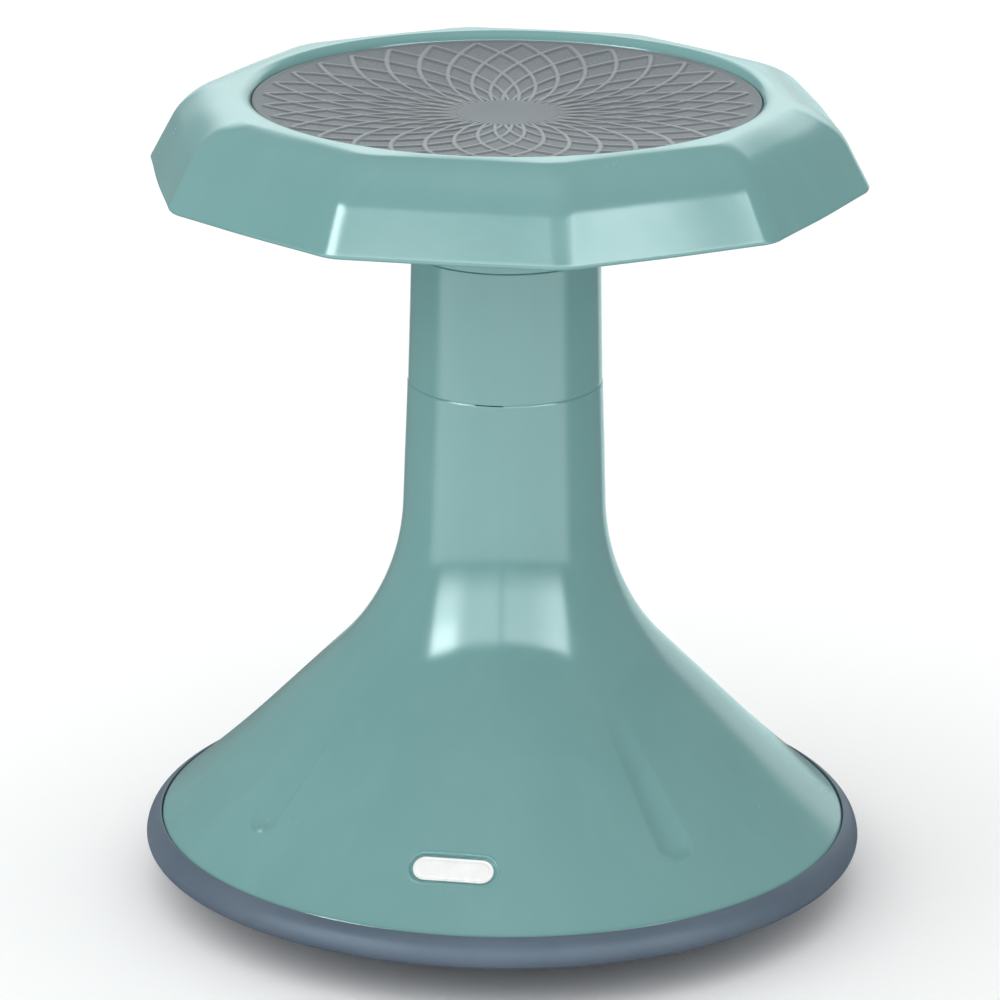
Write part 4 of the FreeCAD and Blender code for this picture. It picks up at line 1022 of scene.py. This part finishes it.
def floor_material():
    """Pale floor; shiny surfaces see a dark one with bright, partly glowing patches painted in
    instead, as painted reflections.
    Lengths are in metres, azimuths in degrees from the front."""
    material, tree, surface = new_material("studio_floor")
    pale = tree.mix(tree.ramp(tree.noise(scale=3.0, detail=3.0), over=(0.3, 0.7)),
                    rgb(0.955, 0.955, 0.955), rgb(0.975, 0.975, 0.975))
    axes = tree.axes(tree.coord)
    x, y = axes["X"], axes["Y"]
    # a strip before the stool
    strip_x = 0.09
    across = tree.math("ABSOLUTE", tree.math("SUBTRACT", x, strip_x))
    patch = tree.multiply(tree.ramp(across, over=(0.30, 0.62), to=DOWN),
                          tree.ramp(y, over=(-0.35, -0.2), to=DOWN))
    # a fan round the front
    away = tree.math("SQRT", tree.add(tree.multiply(x, x), tree.multiply(y, y)))
    azimuth = tree.azimuth(x, y)
    fan = tree.multiply(tree.ramp(azimuth, over=(-82, -68)),
                        tree.ramp(azimuth, over=(76, 90), to=DOWN))
    fan = tree.multiply(fan, tree.ramp(away, over=(0.40, 0.56)))
    patch = tree.math("MAXIMUM", patch, fan)
    # a wedge behind
    from_back = tree.math("SUBTRACT", tree.math("ABSOLUTE", azimuth), 180.0)
    from_back = tree.math("ABSOLUTE", from_back)
    rear = tree.multiply(tree.ramp(from_back, over=(20, 28), to=DOWN),
                         tree.ramp(y, over=(0.14, 0.26)))
    lit = tree.math("MAXIMUM", patch, rear)
    # painted reflections: shiny surfaces see the patches pale and cyan-tinted, the rest of the
    # floor dark
    seen = tree.mix(lit, rgb(0.16, 0.17, 0.17), rgb(0.86, 0.97, 0.97))
    seen = tree.mix(rear, seen, rgb(0.70, 0.92, 0.92))
    rays = tree.node("ShaderNodeLightPath").outputs
    shiny = rays["Is Glossy Ray"]
    # painted glow: the front patches emit light for shiny surfaces only, though the floor is no
    # lamp
    patch_glow = 1.7
    tree.fill(surface, {
        "Base Color": tree.mix(shiny, pale, seen), "Emission Color": STUDIO_TINT,
        "Emission Strength": tree.multiply(tree.multiply(patch, shiny), patch_glow),
        "Roughness": 0.8, "Specular IOR Level": 0.15})
    # clear when the camera looks up from below
    geometry = tree.node("ShaderNodeNewGeometry")
    incoming = tree.axes(geometry.outputs["Incoming"])
    under = tree.multiply(tree.math("LESS_THAN", incoming["Z"], 0.0), rays["Is Camera Ray"])
    clear = tree.node("ShaderNodeBsdfTransparent")
    output = [n for n in tree.tree.nodes if n.type == "OUTPUT_MATERIAL"][0]
    tree.put(output.inputs[0],
             tree.mix_shaders(under, surface.outputs[0], clear.outputs[0]))
    return material


def build_floor():
    profile = [(r, -0.15) for r in (0, 400, 2000, 14000.0)]
    ob, _ = wrap("studio_floor", revolve(profile, full_turn(96))[::-1], end="pole",
                 sharp=0, closed=False)
    ob.data.materials.append(floor_material())


def build_world():
    """Softboxes for reflections, even light for matt surfaces, white for the camera.
    Azimuths and elevations are in degrees."""
    world = bpy.data.worlds.new("studio")
    bpy.context.scene.world = world
    world.use_nodes = True
    world.node_tree.nodes.clear()
    tree = Tree(world.node_tree)
    x, y, z = tree.axes(tree.node("ShaderNodeTexCoord").outputs["Generated"])
    elevation = tree.multiply(tree.math("ARCSINE", z), 180 / PI)
    azimuth = tree.azimuth(x, y)

    def window(left, right, low, high, side_blur, low_blur):
        """1 inside an azimuth and elevation window with soft borders."""
        mask = tree.multiply(
            tree.ramp(azimuth, over=(left - side_blur, left + side_blur)),
            tree.ramp(azimuth, over=(right - side_blur, right + side_blur), to=DOWN))
        mask = tree.multiply(mask, tree.ramp(elevation, over=(low - low_blur, low + low_blur)))
        return tree.multiply(mask, tree.ramp(elevation, over=(high - 1.0, high + 1.0), to=DOWN))

    def background(strength, colour=None):
        node = tree.node("ShaderNodeBackground")
        tree.put(node.inputs["Strength"], strength)
        if colour:
            tree.put(node.inputs["Color"], colour)
        return node.outputs[0]

    # strengths of the parts of the reflected room
    base_level, overhead, gap_dip, streak_boost, room_gain = 0.0, 0.45, 2.2, 5.5, 1.06
    total = tree.add(tree.ramp(elevation, over=(38, 60), to=(0.25, 0.45)), base_level)
    total = tree.add(total, tree.multiply(tree.ramp(elevation, over=(60, 90)), overhead))
    # one wide softbox pair: bright outer edges, a thin gap between
    box = window(left=-60, right=72, low=8, high=38.0, side_blur=4.0, low_blur=9.0)
    level = tree.add(tree.ramp(azimuth, over=(-47, -24), to=(9.8, 4.9)),
                     tree.ramp(azimuth, over=(30, 66), to=(0.0, 3.4)))
    gap = tree.multiply(tree.ramp(azimuth, over=(3, 6)),
                        tree.ramp(azimuth, over=(8, 11), to=DOWN))
    level = tree.math("SUBTRACT", level, tree.multiply(gap, gap_dip))
    streak = tree.multiply(tree.ramp(elevation, over=(20, 31)),
                           tree.ramp(azimuth, over=(-41, -31), to=DOWN))
    level = tree.add(level, tree.multiply(streak, streak_boost))
    level = tree.multiply(level, tree.ramp(elevation, over=(27, 35), to=(1.0, 1.14)))
    total = tree.add(total, tree.multiply(box, level))
    # a low panel behind
    back = tree.add(tree.ramp(azimuth, over=(-156, -146), to=DOWN),
                    tree.ramp(azimuth, over=(152, 161)))
    back = tree.multiply(back, tree.ramp(elevation, over=(22, 36), to=DOWN))
    back_level = tree.ramp(elevation, over=(3, 23), to=(0.75, 2.1))
    total = tree.add(total, tree.multiply(back, back_level))
    reflected = background(tree.multiply(total, room_gain), STUDIO_TINT)
    plain_white = background(1.0, rgb(1.0, 1.0, 1.0))

    # matt light: stronger from above and the -X side, weaker from the +X side
    left_boost, right_dip = 0.42, 0.30
    left = window(left=-110, right=0, low=-20, high=60, side_blur=40, low_blur=30)
    soft = tree.add(tree.ramp(elevation, over=(-20, 60), to=(1.08, 1.42)),
                    tree.multiply(left, left_boost))
    right = window(left=25, right=150, low=-20, high=60, side_blur=30, low_blur=30)
    soft = tree.math("SUBTRACT", soft, tree.multiply(right, right_dip))
    matt = background(soft)

    rays = tree.node("ShaderNodeLightPath").outputs
    lighting = tree.mix_shaders(rays["Is Glossy Ray"], matt, reflected)
    output = tree.node("ShaderNodeOutputWorld")
    tree.put(output.inputs[0],
             tree.mix_shaders(rays["Is Camera Ray"], lighting, plain_white))


CAMERA_PLACE = (0.3757, -2.2943, 0.9472)  # metres
CAMERA_HEADING = -0.163199620435          # radians from +Y, positive towards +X
CAMERA_TILT = 0.316347                    # radians below level
CAMERA_ROLL = 0.0065516                   # radians


def build_camera():
    camera = bpy.data.cameras.new("camera")
    ob = bpy.data.objects.new("camera", camera)
    bpy.context.scene.collection.objects.link(ob)
    sin, cos = math.sin(CAMERA_HEADING), math.cos(CAMERA_HEADING)
    forward = Vector((sin * math.cos(CAMERA_TILT), cos * math.cos(CAMERA_TILT),
                      -math.sin(CAMERA_TILT)))
    level = Vector((cos, -sin, 0))
    above = level.cross(forward)
    right = level * math.cos(CAMERA_ROLL) + above * math.sin(CAMERA_ROLL)
    up = -level * math.sin(CAMERA_ROLL) + above * math.cos(CAMERA_ROLL)
    matrix = Matrix.Identity(4)
    for i in range(3):
        matrix[i][0], matrix[i][1], matrix[i][2] = right[i], up[i], -forward[i]
    matrix.translation = Vector(CAMERA_PLACE)
    ob.matrix_world = matrix
    camera.sensor_fit = "HORIZONTAL"
    camera.sensor_width = 36.0
    camera.lens = 187.8696
    camera.clip_start = 0.05
    camera.clip_end = 60.0
    bpy.context.scene.camera = ob


build_floor()
build_world()
build_camera()
view = bpy.context.scene.view_settings
view.view_transform = "Standard"
view.look = "None"
view.exposure = 0.0
view.gamma = 1.0
